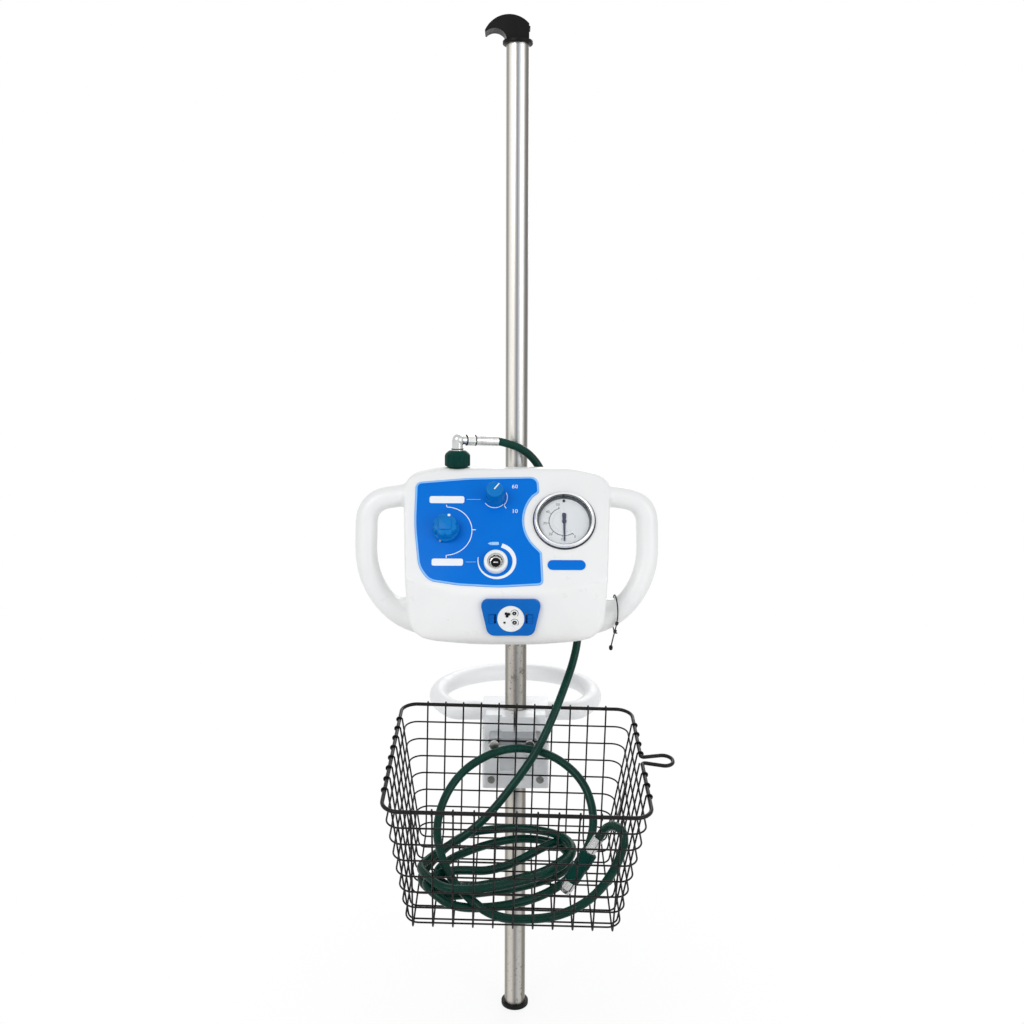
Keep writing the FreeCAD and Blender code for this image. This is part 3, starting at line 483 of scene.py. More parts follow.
metalValues = {  # name, two near colours, gloss, and how much metal there is in it
    "chrome": ("bright_chrome", (0.88, 0.89, 0.90), (0.78, 0.79, 0.81), 0.10, 1.0),
    "darkRing": ("dark_gauge_ring", (0.045, 0.055, 0.07), (0.025, 0.03, 0.04), 0.22, 0.5),
    "zinc": ("zinc_plate", (0.50, 0.50, 0.49), (0.40, 0.40, 0.38), 0.32, 1.0),
    "nickel": ("nickel_fitting", (0.72, 0.73, 0.72), (0.52, 0.53, 0.52), 0.22, 1.0),
    "brass": ("turned_brass", (0.62, 0.45, 0.20), (0.50, 0.35, 0.14), 0.30, 1.0),
    "aluminium": ("cast_aluminium", (0.72, 0.74, 0.76), (0.6, 0.63, 0.66), 0.45, 1.0),
}
finishes = {
    "stainless": stainlessFinish(), "shell": shellFinish(), "hose": hoseFinish(), "wire": wireFinish(),
    "casting": castFinish(), "lens": lensFinish(),
}
for key, (*plain, more) in finishValues.items():
    finishes[key] = mouldedFinish(*plain, **more).material
for key, (*plain, metal) in metalValues.items():
    finishes[key] = mouldedFinish(*plain, 0.06, 2200, metal=metal, patches=40, spread=0.06).material
print("finishes ready:", len(finishes))


# ---- camera, lamps and stage

scene.view_settings.view_transform = "Standard"
cameraValues = {"place": (-6.3, -1562, 1004), "pitch": 81.7, "roll": 0.158, "sensor": 36.0, "lens": 37.96875}
camera = looseObject("studio_camera", bpy.data.cameras.new("studio_camera"))
camera.data.sensor_width = cameraValues["sensor"]
camera.data.lens = cameraValues["lens"]
camera.data.clip_start = 0.05
camera.data.clip_end = 30
tilt = Matrix.Rotation(radians(cameraValues["pitch"]), 4, "X")
roll = Matrix.Rotation(radians(cameraValues["roll"]), 4, "Z")
camera.matrix_world = Matrix.Translation(Vector(cameraValues["place"]) * mm) @ tilt @ roll
scene.camera = camera

lampValues = {  # place in metres, power in watts, width in metres
    "key": ((-1.7, -2.6, 2.6), 36, 1.6),
    "fill": ((2.2, -2.2, 1.5), 21, 1.8),
    "rear": ((0.6, 2.6, 2.2), 28, 1.8),
}


def hangLamp(name, place, power, size):
    lamp = bpy.data.lights.new(name, "AREA")
    lamp.energy = power
    lamp.size = size
    holder = looseObject(name, lamp)
    holder.location = place
    aim = Vector((0, 0, 0.7)) - Vector(place)
    holder.rotation_euler = aim.to_track_quat("-Z", "Y").to_euler()


for lampName, (place, power, size) in lampValues.items():
    hangLamp(lampName + "_lamp", place, power, size)


stageValues = {"skyLight": 0.66, "floorHalf": 3000.0, "fadeFrom": 0.02, "fadeTo": 0.45, "fadeShare": 0.84}


def seenWhite(tree):
    # the eye, metal and clear parts see plain white; light on the object stays as lit
    path = tree.nodes.new("ShaderNodeLightPath")
    seen = path.outputs["Is Camera Ray"]
    for ray in ("Is Transmission Ray", "Is Glossy Ray"):
        seen = tree.add("Math", "Value", seen, path.outputs[ray], operation="MAXIMUM")
    return seen


def makeWorld():
    scene.world = bpy.data.worlds.new("studio")
    tree = Wiring(scene.world)
    tree.nodes.remove(tree.nodes["Background"])
    lit = tree.add("Background", "Background", Color=(0.97, 0.98, 1.0), Strength=stageValues["skyLight"])
    white = tree.add("Background", "Background", Color=(1, 1, 1), Strength=1.0)
    tree.show(tree.add("MixShader", "Shader", seenWhite(tree), lit, white))


def makeFloor():
    v = stageValues
    half = v["floorHalf"]
    outline = [Vector(p) for p in ((-half, -half), (half, -half), (half, half), (-half, half))]
    mesh = placedMesh("studio_floor", *slabShape(outline, -12.0, -0.6))
    f = FinishBuilder("studio_floor_white")
    f.set(Base_Color=(0.9, 0.9, 0.9), Roughness=0.9)
    glow = f.add("Emission", "Emission", Color=(1, 1, 1), Strength=1.0)
    reach = f.add("VectorMath", "Value", f.place, operation="LENGTH")
    share = f.product(seenWhite(f), f.between(reach, v["fadeFrom"], v["fadeTo"], v["fadeShare"]))
    f.show(f.add("MixShader", "Shader", share, f.shader.outputs["BSDF"], glow))
    mesh.materials.append(f.material)
    looseObject("studio_floor", mesh)


makeWorld()
makeFloor()
print("camera, lamps and floor ready")


# ---- hose and tether

basketValues = {
    "centre": (1.0, -208.0, 483.5), "pitch": 9.6, "roll": 1.4, "floor": -186.45, "halfWidth": 163.0,
    "halfDepth": 135.0, "mesh": 25.4, "eye": -2.0, "eyeRoom": 12.0, "wrapRadius": 3.75, "wrapWire": 2.3,
}
basketPlace = (
    Matrix.Translation(Vector(basketValues["centre"]) * mm)
    @ Matrix.Rotation(radians(basketValues["roll"]), 4, "Y")
    @ Matrix.Rotation(radians(basketValues["pitch"]), 4, "X")
)


def inBasket(x, y, height):
    # a point over the basket floor, as millimetres of the whole stand
    return tuple((basketPlace @ (Vector((x, y, basketValues["floor"] + height)) * mm)) / mm)


cordValues = {"hoseDiameter": 11.5, "stringDiameter": 1.8}
supplyRoute = [
    (-27, -30.6, 882.2), (-2, -26.3, 876.3), (20.5, -25.2, 862.3), (37, -25, 838.5), (47.5, -24, 803),
    (59, -23, 752), (70, -22.5, 700), (82, -23.5, 650), (92, -29, 604), (84, -45, 566), (68, -72, 530),
    (50, -97, 492), (29, -114, 453), (0, -127, 415), (-33, -139, 376), (-66, -148, 347),
]
archRoute = [
    (104, -172, 352), (108, -147, 380), (96, -121, 412), (64, -101, 437), (26, -90.5, 449), (-11, -89, 449.5),
    (-48, -95, 438), (-80, -108, 418), (-102, -130, 389), (-110, -158, 357),
]
endRoute = [
    (91, -258.5, 306.5), (105.7, -262, 322.7), (115.6, -268, 339.5), (125.4, -274, 360.5), (133, -278, 382.6),
    (136.5, -276, 399.4), (134.6, -268, 408), (126.4, -254, 409), (118, -241, 401), (112.5, -232, 389.5),
    (107.5, -232.6, 381.4),
]
topTurn = [
    (-97, 24, 25), (-113, 4, 24), (-127, -20, 26), (-114, -45, 31), (-92, -72, 33), (-62, -76, 34), (-28, -68, 33),
    (6, -54, 32), (38, -38, 31), (64, -18, 32), (79, 4, 33), (81, 26, 33), (72, 46, 31.5), (54, 60, 30),
    (28, 68, 29), (-2, 73, 27), (-32, 76, 22), (-60, 76, 17), (-86, 59, 12),
]
floorTurn = [
    (-107, 28, 7.5), (-120, 2, 6.5), (-125, -21, 6.5), (-110, -43, 6.5), (-86, -54, 6.5), (-50, -46, 6.5),
    (0, -35, 6.5), (46, -14, 6.5), (73, 8, 6.5), (80, 34, 6.5), (70, 62, 6.5), (44, 77, 6.5), (4, 79, 6.5),
    (-36, 63, 6.5), (-72, 40, 6.5),
]
innerTurn = [
    (-95, 17, 7), (-105, -5, 7), (-98, -26, 7), (-72, -38, 6.8), (-30, -27, 7.5), (10, -14, 7.5), (45, 1, 9.5),
    (68, 18, 15.5), (80, 28, 20), (83, 46, 20.5), (66, 58, 20.5), (38, 38, 19.5), (2, 12, 13), (-34, -6, 12),
    (-62, -9, 15), (-84, -18, 20.5),
]
outerTurn = [
    (-103, -28, 21.5), (-118, -46, 21), (-102, -66, 18), (-78, -78, 9.5), (-40, -76, 6.5), (2, -66, 6.5),
    (36, -49, 6.5), (60, -32, 9.5), (77, -21, 18), (88, -11, 29),
]
frontTurn = [
    (-97, -14, 38), (-90, -27, 32), (-80, -44, 23), (-67, -61, 20.5), (-52, -79, 19), (-34, -91, 12.5),
    (-10, -96, 7), (18, -95, 6.5), (46, -91, 6.5), (72, -80, 7.5),
]
tetherRoute = [
    (139.5, -104, 622), (138, -91, 617.5), (136.5, -76, 624), (135.5, -71, 643), (136, -76, 663), (136.8, -88, 674),
    (138, -102, 672), (139.5, -110, 661), (140, -111, 649), (138.5, -110.5, 636), (134.5, -110, 620),
    (131.5, -110, 606),
]


def cordLength(piece):
    bare = piece.data.copy()
    bare.bevel_depth = 0
    mesh = bakedMesh(looseObject("measure", bare))
    ends = [[mesh.vertices[i].co for i in edge.vertices] for edge in mesh.edges]
    return sum((first - last).length for first, last in ends)


def makeCords():
    v = cordValues
    turns = topTurn + floorTurn + innerTurn + outerTurn
    route = supplyRoute + [inBasket(*p) for p in turns] + archRoute + [inBasket(*p) for p in frontTurn] + endRoute
    hose = rodPiece("gas_hose", [route], v["hoseDiameter"] / 2, "hose", sides=8, resolution=8)
    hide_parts("hose_supply_run", "hose_arch", "hose_end_run", "hose_coil")
    string = rodPiece("tether_string", [tetherRoute], v["stringDiameter"] / 2, "string", sides=4)
    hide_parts("tether_cord")
    return hose, string


def declareCords(hose, string, stringEnd):
    hoseLength = cordLength(hose)
    stringLength = cordLength(string)
    print("hose length", round(hoseLength, 3), "string length", round(stringLength, 3))


gasHose, tetherString = makeCords()
print("cords drawn")


# ---- console housing

consoleValues = {
    "centre": -13.5, "back": -38.0, "bottom": 614.0, "top": 847.3, "bow": -163.6, "bellyFoot": -156.0,
    "bellyTop": 692.0, "bellyLean": 6.0, "panelFoot": (-157.0, 700.0), "tilt": 32.0, "parting": -50.0, "seam": 0.5,
    "gripRadius": 15.6, "gripTop": (-66.0, 822.0), "gripLean": 0.15, "voxel": 1.7, "softening": 34,
    "gauge": (65.0, 94.5), "mode": (-95.9, 79.6), "rate": (-30.0, 128.6), "flow": (-27.8, 32.5),
    "connector": (-7.5, 657.6), "inlet": (-83.0, -51.0), "inletSeat": 846.0, "inletBore": 15.2,
    "seat": ((-150, 112), (4, 158), (-1.2, 10)),
}
gripPoints = [(-100, 816, 0), (-195, 801.5, 32), (-196.5, 692, 110), (-131, 624.5, 88), (-45, 640, 0)]


def tiltedPlace(y, z, angle):
    # a working plane that faces the front, turned up from lying flat
    return Matrix.Translation(Vector((0, y, z)) * mm) @ Matrix.Rotation(angle, 4, "X")


def bellyPlane():
    v = consoleValues
    height = v["bellyTop"] - v["bottom"]
    level = v["connector"][1]
    y = v["bellyFoot"] - v["bellyLean"] * (level - v["bottom"]) / height
    return tiltedPlace(y, level, pi / 2 - atan2(-v["bellyLean"], height))


panelPlace = tiltedPlace(*consoleValues["panelFoot"], radians(90 - consoleValues["tilt"]))
bellyPlace = bellyPlane()


def onPanel(name, shape, finish, body=standBody, stands=(), angle=32):
    return addPiece(name, placedMesh(name, *shape, panelPlace), finish, body, stands, angle)


def onBelly(name, shape, finish):
    return addPiece(name, placedMesh(name, *shape, bellyPlace), finish)


def gripPath(side, steps=10):
    v = consoleValues
    corners = [(Vector((side * x, z)), radius) for x, z, radius in gripPoints]
    flat = [corners[0][0]]
    for (before, _), (at, radius), (after, _) in zip(corners, corners[1:], corners[2:]):
        flat += cornerArc(before, at, after, radius, steps)
    flat.append(corners[-1][0])
    depth, top = v["gripTop"]
    return [(v["centre"] + p.x, depth - (top - p.y) * v["gripLean"], p.y) for p in flat]


def standing(shape):
    # a plate drawn flat, stood up so that it faces along Y
    points, faces = shape
    return [(x, z, y) for x, y, z in points], faces


def mirrored(right, x):
    # a closed outline from its right half, going round anticlockwise from the middle
    return [(x + dx, y, r) for dx, y, r in right] + [(x - dx, y, r) for dx, y, r in right[::-1]]


def consoleBlank():
    v = consoleValues
    slope = tan(radians(v["tilt"]))
    crease = v["panelFoot"][0] + (v["bellyTop"] - v["panelFoot"][1]) * slope
    crown = v["panelFoot"][0] + (v["top"] - v["panelFoot"][1]) * slope
    side = cornered([
        (v["back"], v["bottom"], 5), (v["bellyFoot"], v["bottom"], 24), (crease, v["bellyTop"], 14),
        (crown, v["top"], 12), (v["back"], v["top"], 5),
    ])
    points, faces = slabShape(side, -300, 300)
    lengthwise = placedMesh("side", [(z, x, y) for x, y, z in points], faces)
    low, high = v["bottom"] + 0.5, v["top"] + 0.5
    right = [(35, low, 300), (98, low + 8, 80), (131, low + 18, 33), (144.5, high - 12.5, 24), (90, high, 200)]
    facing = placedMesh("front", *standing(slabShape(cornered(mirrored(right, v["centre"]), 12), -250, 50)))
    bow = v["bow"]
    right = [(60, bow, 600), (151, bow + 14.2, 20), (151, v["back"] + 10, 0)]
    bowed = placedMesh("plan", *slabShape(cornered(mirrored(right, v["centre"]), 16), 580, 880))
    return booleanMesh(booleanMesh(lengthwise, facing, "INTERSECT"), bowed, "INTERSECT")


def gripMesh(side):
    return bakedMesh(looseObject("grip", tubeCurve("grip", [gripPath(side)], consoleValues["gripRadius"], 8,
                                                   kind="POLY")))


def notchWeb(side):
    # the lower inside corner of a grip window is rounded, not a sharp notch
    corners = [(132, 671), (132, 648), (152, 648), (159, 673), (153, 668.5), (146, 667), (139, 668)]
    outline = [Vector((consoleValues["centre"] + side * dx, z)) for dx, z in corners]
    return placedMesh("web", *standing(slabShape(outline, -100.0, -78.0)))


def mergedMesh(meshes):
    work = bmesh.new()
    for mesh in meshes:
        work.from_mesh(mesh)
    merged = bpy.data.meshes.new("merged")
    work.to_mesh(merged)
    work.free()
    return merged


def softBody():
    merged = mergedMesh([consoleBlank(), gripMesh(1), gripMesh(-1), notchWeb(1), notchWeb(-1)])
    holder = looseObject("housing_blank", merged)
    skin = holder.modifiers.new("skin", "REMESH")
    skin.mode = "VOXEL"
    skin.voxel_size = consoleValues["voxel"] * mm
    smooth = holder.modifiers.new("soften", "SMOOTH")
    smooth.factor = 0.5
    smooth.iterations = consoleValues["softening"]
    return bakedMesh(holder)


def flattenPanelSeat(mesh):
    # the sloping face lies exactly in the panel's plane
    back = panelPlace.inverted()
    for vertex in mesh.vertices:
        local = back @ vertex.co
        if all(low * mm < at < high * mm for at, (low, high) in zip(local, consoleValues["seat"])):
            local.z = -0.05 * mm
            vertex.co = panelPlace @ local


def keptSide(mesh, level, keepFront):
    work = bmesh.new()
    work.from_mesh(mesh)
    geometry = work.verts[:] + work.edges[:] + work.faces[:]
    cut = bmesh.ops.bisect_plane(work, geom=geometry, plane_co=(0, level * mm, 0), plane_no=(0, 1, 0),
                                 clear_outer=keepFront, clear_inner=not keepFront)
    rim = [g for g in cut["geom_cut"] if isinstance(g, bmesh.types.BMEdge)]
    bmesh.ops.holes_fill(work, edges=rim, sides=0)
    half = bpy.data.meshes.new("half")
    work.to_mesh(half)
    work.free()
    return half


def boreCutter(radius, low, high, place, x=0.0, y=0.0, steps=64):
    shape = turnedShape([(0, low), (radius, low), (radius, high), (0, high)], steps)
    return placedMesh("cutter", *shifted(shape, x, y), place)


def makeHousing():
    v = consoleValues
    whole = softBody()
    flattenPanelSeat(whole)
    front = keptSide(whole, v["parting"] - v["seam"] / 2, True)
    rear = keptSide(whole, v["parting"] + v["seam"] / 2, False)
    for radius, low, place, centre in ((38.6, -46, panelPlace, "gauge"), (12.4, -24, panelPlace, "flow")):
        front = booleanMesh(front, boreCutter(radius, low, 12, place, *v[centre]), "DIFFERENCE")
    seat = v["inletSeat"]
    upright = Matrix.Identity(4)
    front, rear = [booleanMesh(half, boreCutter(v["inletBore"], seat, seat + 20, upright, *v["inlet"]), "DIFFERENCE")
                   for half in (front, rear)]
    facingBack = Matrix.Rotation(radians(-90), 4, "X")
    recesses = []
    for dx, z in ((131, 800), (120, 665), (60, 627.5)):
        for x in (v["centre"] - dx, v["centre"] + dx):
            place = Matrix.Translation(Vector((x, v["back"] - 3.0, z)) * mm) @ facingBack
            recesses.append(boreCutter(4.3, 0, 8, place, steps=24))
    rear = booleanMesh(rear, mergedMesh(recesses), "DIFFERENCE")
    addPiece("front_housing_shell", front, "shell", stands=["front_housing"], angle=40)
    addPiece("rear_cover_shell", rear, "shell", stands=["rear_cover"], angle=40)


makeHousing()
print("housing ready")


# ---- control panel and its print

panelValues = {"top": 0.8, "border": 2.6, "gaugeGap": 55.0, "ink": 0.12}


def panelOutline():
    gauge = consoleValues["gauge"]
    gap = panelValues["gaugeGap"]
    bay = [(gauge[0] + gap * cos(radians(a)), gauge[1] + gap * sin(radians(a)), 0) for a in range(220, 138, -8)]
    below = [(-139.5, 151.5, 9), (-139.5, 88, 260), (-131.5, 26, 40), (-117, 6.5, 22), (-78, 0.4, 100),
             (-24.6, -2.6, 200), (35.8, 1.0, 7), (33.8, 47.6, 6)]
    above = [(31.2, 136.2, 6), (30, 160.5, 12), (-64.7, 158.3, 300)]
    return cornered(below + bay + above)


def flowSwirl():
    # a ring round the flow port that thins from 6.3 mm to 0.7 mm along its outer edge
    centre = Vector(consoleValues["flow"]) + Vector((1.4, 2.6))
    steps, thin = 60, 0.7
    widths = [5.6 * (1 - k / steps) ** 0.8 + thin for k in range(steps + 1)]
    swirl = arcLine(centre, 25.6, 74, -192, steps)
    eased = [tuple(centre + (Vector(p) - centre) * (1 - (w - thin) / 54)) for p, w in zip(swirl, widths)]
    return eased, widths


def makePanel():
    low = panelValues["top"]
    high = low + panelValues["ink"]
    outline = panelOutline()
    onPanel("panel_face", slabShape(outline, 0.0, low, 0.3), "panelBlue", stands=["panel_overlay"])
    outer = shrunk(outline, 0.35)
    inner = shrunk(outline, panelValues["border"])
    rings = ((outer, low), (inner, low), (inner, high), (outer, high), (outer, low))
    points = [(p.x, p.y, z) for ring, z in rings for p in ring]
    onPanel("panel_border", (points, ringFaces(len(rings), len(outer))), "panelEdge")

    labels = ((-119.5, 119.6, -71.8, 130.2), (-113.8, 28.0, -71.8, 38.1))
    white = [slabShape(roundedBox(*box, 2.8, 6), low, high) for box in labels]
    mode = consoleValues["mode"]
    bracket = [(-96.2, 117.1)] + arcLine((mode[0], 78.4), 35.4, 89, -88) + [(-94.4, 39.1)]
    rate = consoleValues["rate"]
    lines = ((bracket, 1.05), ([(-60.4, 80.2), (-55.3, 80.2)], 1.0), (arcLine(rate, 15.6, 214, 318, 24), 0.9),
             (arcLine(rate, 17.2, -40, 24, 20), 0.9), ([(-17.2, 116.6), (-14.3, 112.2)], 0.9), flowSwirl())
    white += [ribbonShape(line, widths, low, high) for line, widths in lines]
    white += numeralShapes([("60", -2.5, 144.8), ("10", -2.5, 107.6)], 8.5, low, high)
    onPanel("panel_print", together(white), "print")

    pale = [
        ribbonShape([(-68.5, 125.3), (-49.4, 125.3)], 0.5, low, high),
        ribbonShape([(-68.0, 33.4), (-54.6, 33.4)], 0.5, low, high),
        slabShape([Vector(p) for p in ((-38.9, 60.2), (-34.2, 57.6), (-34.2, 62.6))], low, high),
        slabShape(roundedBox(-34, 58.0, -24, 62.4, 1.2, 4), low, high),
    ]
    onPanel("panel_pale_print", together(pale), "paleLine")
    dressNodes("panelBlue", 0.25, "badge_plate")


makePanel()


# ---- knobs

def makeModeKnob():
    x, y = consoleValues["mode"]
    profile = [(0, 1.0), (17.2, 1.0), (18.0, 1.6), (18.2, 2.6), (18.2, 6.6), (17.7, 7.7), (17.0, 8.3), (16.9, 9.0),
               (16.8, 13.0), (16.6, 18.5), (16.1, 20.8), (15.0, 22.4), (13.6, 23.0), (10, 23.1), (0, 23.1)]
    onPanel("mode_knob_body", shifted(turnedShape(profile, 128, ribs(8, 0.105, 8.0, 22.8, 3)), x, y), "knob",
            "mode_control", ["mode_knob"], 40)
    pad = roundedBox(x - 8.5, y - 8.5, x + 8.5, y + 8.5, 3, 6)
    onPanel("mode_knob_pad", slabShape(pad, 22.8, 24.6, 0.8), "knob", "mode_control")
    dot = roundedBox(x + 3.2, y + 11, x + 6.8, y + 14.2, 0.6, 3)
    onPanel("mode_knob_mark", slabShape(dot, 22.9, 23.5, 0.15), "print", "mode_control")
    screw = turnedShape([(0, 0), (1.6, 0), (1.6, 1.3), (1.2, 1.6), (0.9, 1.0), (0, 0.9)], 20)
    place = panelPlace @ Matrix.Translation(Vector((x - 6.9, y - 16.6, 4.6)) * mm)
    place = place @ Matrix.Rotation(radians(-22.5), 4, "Z") @ Matrix.Rotation(radians(90), 4, "X")
    addPiece("mode_knob_screw", placedMesh("mode_knob_screw", *screw, place), "zinc", "mode_control")


def makeRateKnob():
    x, y = consoleValues["rate"]
    profile = [(0, 1.0), (13.2, 1.0), (13.9, 1.8), (13.9, 3.4), (13.2, 4.4), (12.9, 8), (12.4, 16), (11.9, 24),
               (11.5, 27.2), (10.9, 28.6), (9.7, 29.3), (7.5, 29.2), (0, 28.9)]
    onPanel("rate_knob_body", shifted(turnedShape(profile, 96), x, y), "knob", "rate_control",
            ["rate_knob"], 40)
    turn = Matrix.Rotation(radians(52), 2)
    pointer = [Vector((x, y)) + turn @ Vector(p) for p in ((-0.5, -0.8), (10.2, -0.8), (10.2, 0.8), (-0.5, 0.8))]
    onPanel("rate_knob_pointer", slabShape(pointer, 28.8, 29.6, 0.2), "print", "rate_control")


def makeFlowPort():
    x, y = consoleValues["flow"]
    collar = [(10.9, -7), (12.0, -7), (12.0, 0.9), (16.0, 0.9), (16.1, 7.4), (15.4, 8.9), (14.2, 9.5), (12.6, 9.4),
              (11.5, 8.8), (11.0, 7.8), (10.9, -7)]
    onPanel("flow_port_collar", shifted(turnedShape(collar, 96), x, y), "whitePart",
            stands=["flow_collar"])
    stem = [(0, -7), (10.7, -7), (10.7, 6.6), (10.2, 7.3), (9.4, 7.3), (8.9, 6.5), (8.5, 5.2), (8.1, 3.0), (6.6, 2.2),
            (6.2, 0.0)]
    socket = shifted(turnedShape(stem, 96, ribs(12, 0.06, 2.4, 6.0, 1)), x, y)
    onPanel("flow_valve_socket", socket, "nickel", "flow_control", ["flow_stem"])
    core = [(6.4, 0.6), (6.2, 1.8), (5.0, 2.2), (4.2, 1.6), (3.6, 1.2), (0, 1.1)]
    onPanel("flow_valve_core", shifted(turnedShape(core, 48), x, y), "hole", "flow_control")
    bar = slabShape(roundedBox(x - 3.1, y - 0.9, x + 3.1, y + 0.9, 0.4, 3), 1.0, 2.6, 0.3)
    onPanel("flow_valve_bar", bar, "nickel", "flow_control")


makeModeKnob()
makeRateKnob()
makeFlowPort()
print("panel and knobs ready")


# ---- gauge

gaugeValues = {"dialHeight": -3.5, "scaleRadius": 20.5, "innerRadius": 15.9, "numeralRadius": 26.5,
               "numeralSize": 5.2, "start": -57, "end": -252, "divisions": 50, "highest": 50}


def gaugePrint(x, y, low, high):
    # the scale: an arc with long, middle and short marks outside it, fine marks inside, and plain numbers
    v = gaugeValues
    start, end, count = v["start"], v["end"], v["divisions"]

    def mark(share, radius, reach, width):
        a = radians(start + (end - start) * share)
        return ribbonShape([(x + r * cos(a), y + r * sin(a)) for r in (radius, radius + reach)], width, low, high)

    marks = [ribbonShape(arcLine((x, y), v["scaleRadius"], start, end, 60), 0.75, low, high)]
    for k in range(count + 1):
        reach = 2.6 if k % 10 == 0 else 1.7 if k % 5 == 0 else 1.0
        marks.append(mark(k / count, v["scaleRadius"], reach, 0.85 if k % 10 == 0 else 0.4))
    marks += [mark(2 * k / count, v["innerRadius"], -0.9, 0.22) for k in range(count // 2 + 1)]
    words = []
    for number in range(0, v["highest"] + 1, 10):
        a = radians(start + (end - start) * number / v["highest"])
        words.append((str(number), x + v["numeralRadius"] * cos(a), y + v["numeralRadius"] * sin(a)))
    return together(marks + numeralShapes(words, v["numeralSize"], low, high))


def makeGauge():
    x, y = consoleValues["gauge"]
    bezel = [(36.2, 1.7), (41.2, 1.7), (41.4, 2.6), (41.3, 4.2), (40.9, 5.8), (40.1, 7.0), (39.1, 7.7), (38.2, 7.7),
             (37.4, 7.1), (36.8, 6.1), (36.3, 4.6), (36.2, 3.4), (36.2, 1.7)]
    onPanel("gauge_bezel_ring", shifted(turnedShape(bezel, 128), x, y), "chrome", stands=["gauge_bezel"], angle=50)
    skirt = [(38.2, 0.02), (42.9, 0.02), (42.9, 1.1), (42.2, 1.7), (38.2, 1.7), (38.2, 0.02)]
    onPanel("gauge_skirt_ring", shifted(turnedShape(skirt, 128), x, y), "darkRing")
    inner = [(36.1, 1.6), (36.1, 3.2), (35.5, 3.2), (34.9, 0.8), (34.2, -2.4), (34.0, -3.45), (35.9, -3.45),
             (36.1, 1.6)]
    onPanel("gauge_inner_ring", shifted(turnedShape(inner, 128), x, y), "darkRing")
    dressNodes("lens", 0, "gauge_lens")
    dressNodes("dial", 0, "gauge_dial")
    dressNodes("black", 0, "gauge_case")

    low = gaugeValues["dialHeight"]
    onPanel("gauge_dial_print", gaugePrint(x, y, low, low + 0.12), "ink")
    peg = turnedShape([(0, low), (1.7, low), (1.7, low + 2.2), (1.2, low + 2.7), (0, low + 2.8)], 24)
    onPanel("gauge_stop_peg", shifted(peg, x, y + 30.6), "hole")

    right = [(0.9, -28.2), (1.5, -2), (2.0, 1.5), (2.9, 8.5), (2.7, 11.2), (1.4, 12.4)]  # half the blade, tip first
    blade = [(0, -29.6)] + right + [(-dx, dy) for dx, dy in right[::-1]]
    hub = turnedShape([(0, -2.7), (3.0, -2.7), (3.0, -1.5), (2.5, -0.9), (0, -0.7)], 36)
    needle = together([slabShape([Vector((x + dx, y + dy)) for dx, dy in blade], -2.2, -1.5, 0.2),
                       shifted(hub, x, y)])
    onPanel("gauge_pointer", needle, "navy", "needle", ["gauge_needle"])


makeGauge()
print("gauge ready")


# ---- lower connector

connectorValues = {
    "ports": ((4.7, 7.7, 3.0), (5.0, -5.2, 3.2)), "blind": (-8.3, -5.2, 1.8), "key": (-4.6, 6.2),
    "discFace": 7.3,
}


def makeConnector():
    v = connectorValues
    x = consoleValues["connector"][0]
    dressNodes("block", 0.35, "connector_block")
    dressNodes("block", 0.3, "left_latch", "right_latch")
    dressNodes("whitePart", 0.3, "connector_disc")
    rims, cores, marks = [], [], []
    for dx, dy, r in v["ports"]:
        rim = [(r, 6.4), (r + 1.5, 6.4), (r + 1.5, 7.9), (r + 1.1, 8.3), (r + 0.3, 8.3), (r, 7.9), (r, 6.4)]
        core = [(0, 2.3), (1.0, 2.3), (1.0, 6.6), (0.7, 7.0), (0, 7.0)]
        rims.append(shifted(turnedShape(rim, 36), x + dx, dy))
        cores.append(shifted(turnedShape(core, 20), x + dx, dy))
        marks.append(ribbonShape(arcLine((x + dx, dy), r + 2.1, -40, 150, 24), 0.6, 7.35, 7.55))
    onBelly("port_rims", together(rims), "whitePart")
    # painted shade: thin dark discs at the bottom of the ports and the blind hole
    depths = [shifted(turnedShape([(0, 2.2), (r, 2.2), (r, 2.3), (0, 2.3)], 24), x + dx, dy)
              for dx, dy, r in (*v["ports"], v["blind"])]
    onBelly("port_depths", together(depths), "hole")
    onBelly("port_cores", together(cores), "nickel")
    onBelly("port_marks", together(marks), "ink")

    face = v["discFace"]
    kx, ky = x + v["key"][0], v["key"][1]
    lobe = [(0, face), (1.9, face), (1.9, face + 1.0), (1.4, face + 1.4), (0, face + 1.5)]
    lobes = [shifted(turnedShape(lobe, 24), kx + 2.1 * cos(radians(a)), ky + 2.1 * sin(radians(a)))
             for a in (20, 140, 260)]
    lobes.append(shifted(turnedShape([(0, face), (1.4, face), (1.4, face + 1.9), (0, face + 2.0)], 20), kx, ky))
    onBelly("disc_key", together(lobes), "hole")
    arrow = [Vector((x + dx, y)) for dx, y in ((19.0, 5.5), (22.6, 5.5), (20.8, 8.6))]
    onBelly("latch_mark", slabShape(arrow, 6.45, 6.7), "ink")


makeConnector()


# ---- gas inlet

inletValues = {"nutLift": 2.9, "neckLift": 26.0, "yaw": 20, "dip": 3, "seals": (-46.9, -33.9),
               "hoseSeal": (6.2, 7.7), "neckSeal": (7.6, 8.6), "endNutReach": 22.0}


def turnedAlong(name, profile, start, out, finish, body=standBody, stands=(), steps=64, wave=None, angle=32):
    place = Matrix.Translation(Vector(start) * mm) @ Vector(out).to_track_quat("Z", "Y").to_matrix().to_4x4()
    return addPiece(name, placedMesh(name, *turnedShape(profile, steps, wave), place), finish, body, stands, angle)


def sealRing(name, bore, rim, start, out):
    profile = [(bore, 0), (rim - 0.2, 0), (rim, 0.3), (rim, 1.0), (rim - 0.2, 1.3), (bore, 1.3), (bore, 0)]
    turnedAlong(name, profile, start, out, "rubber")


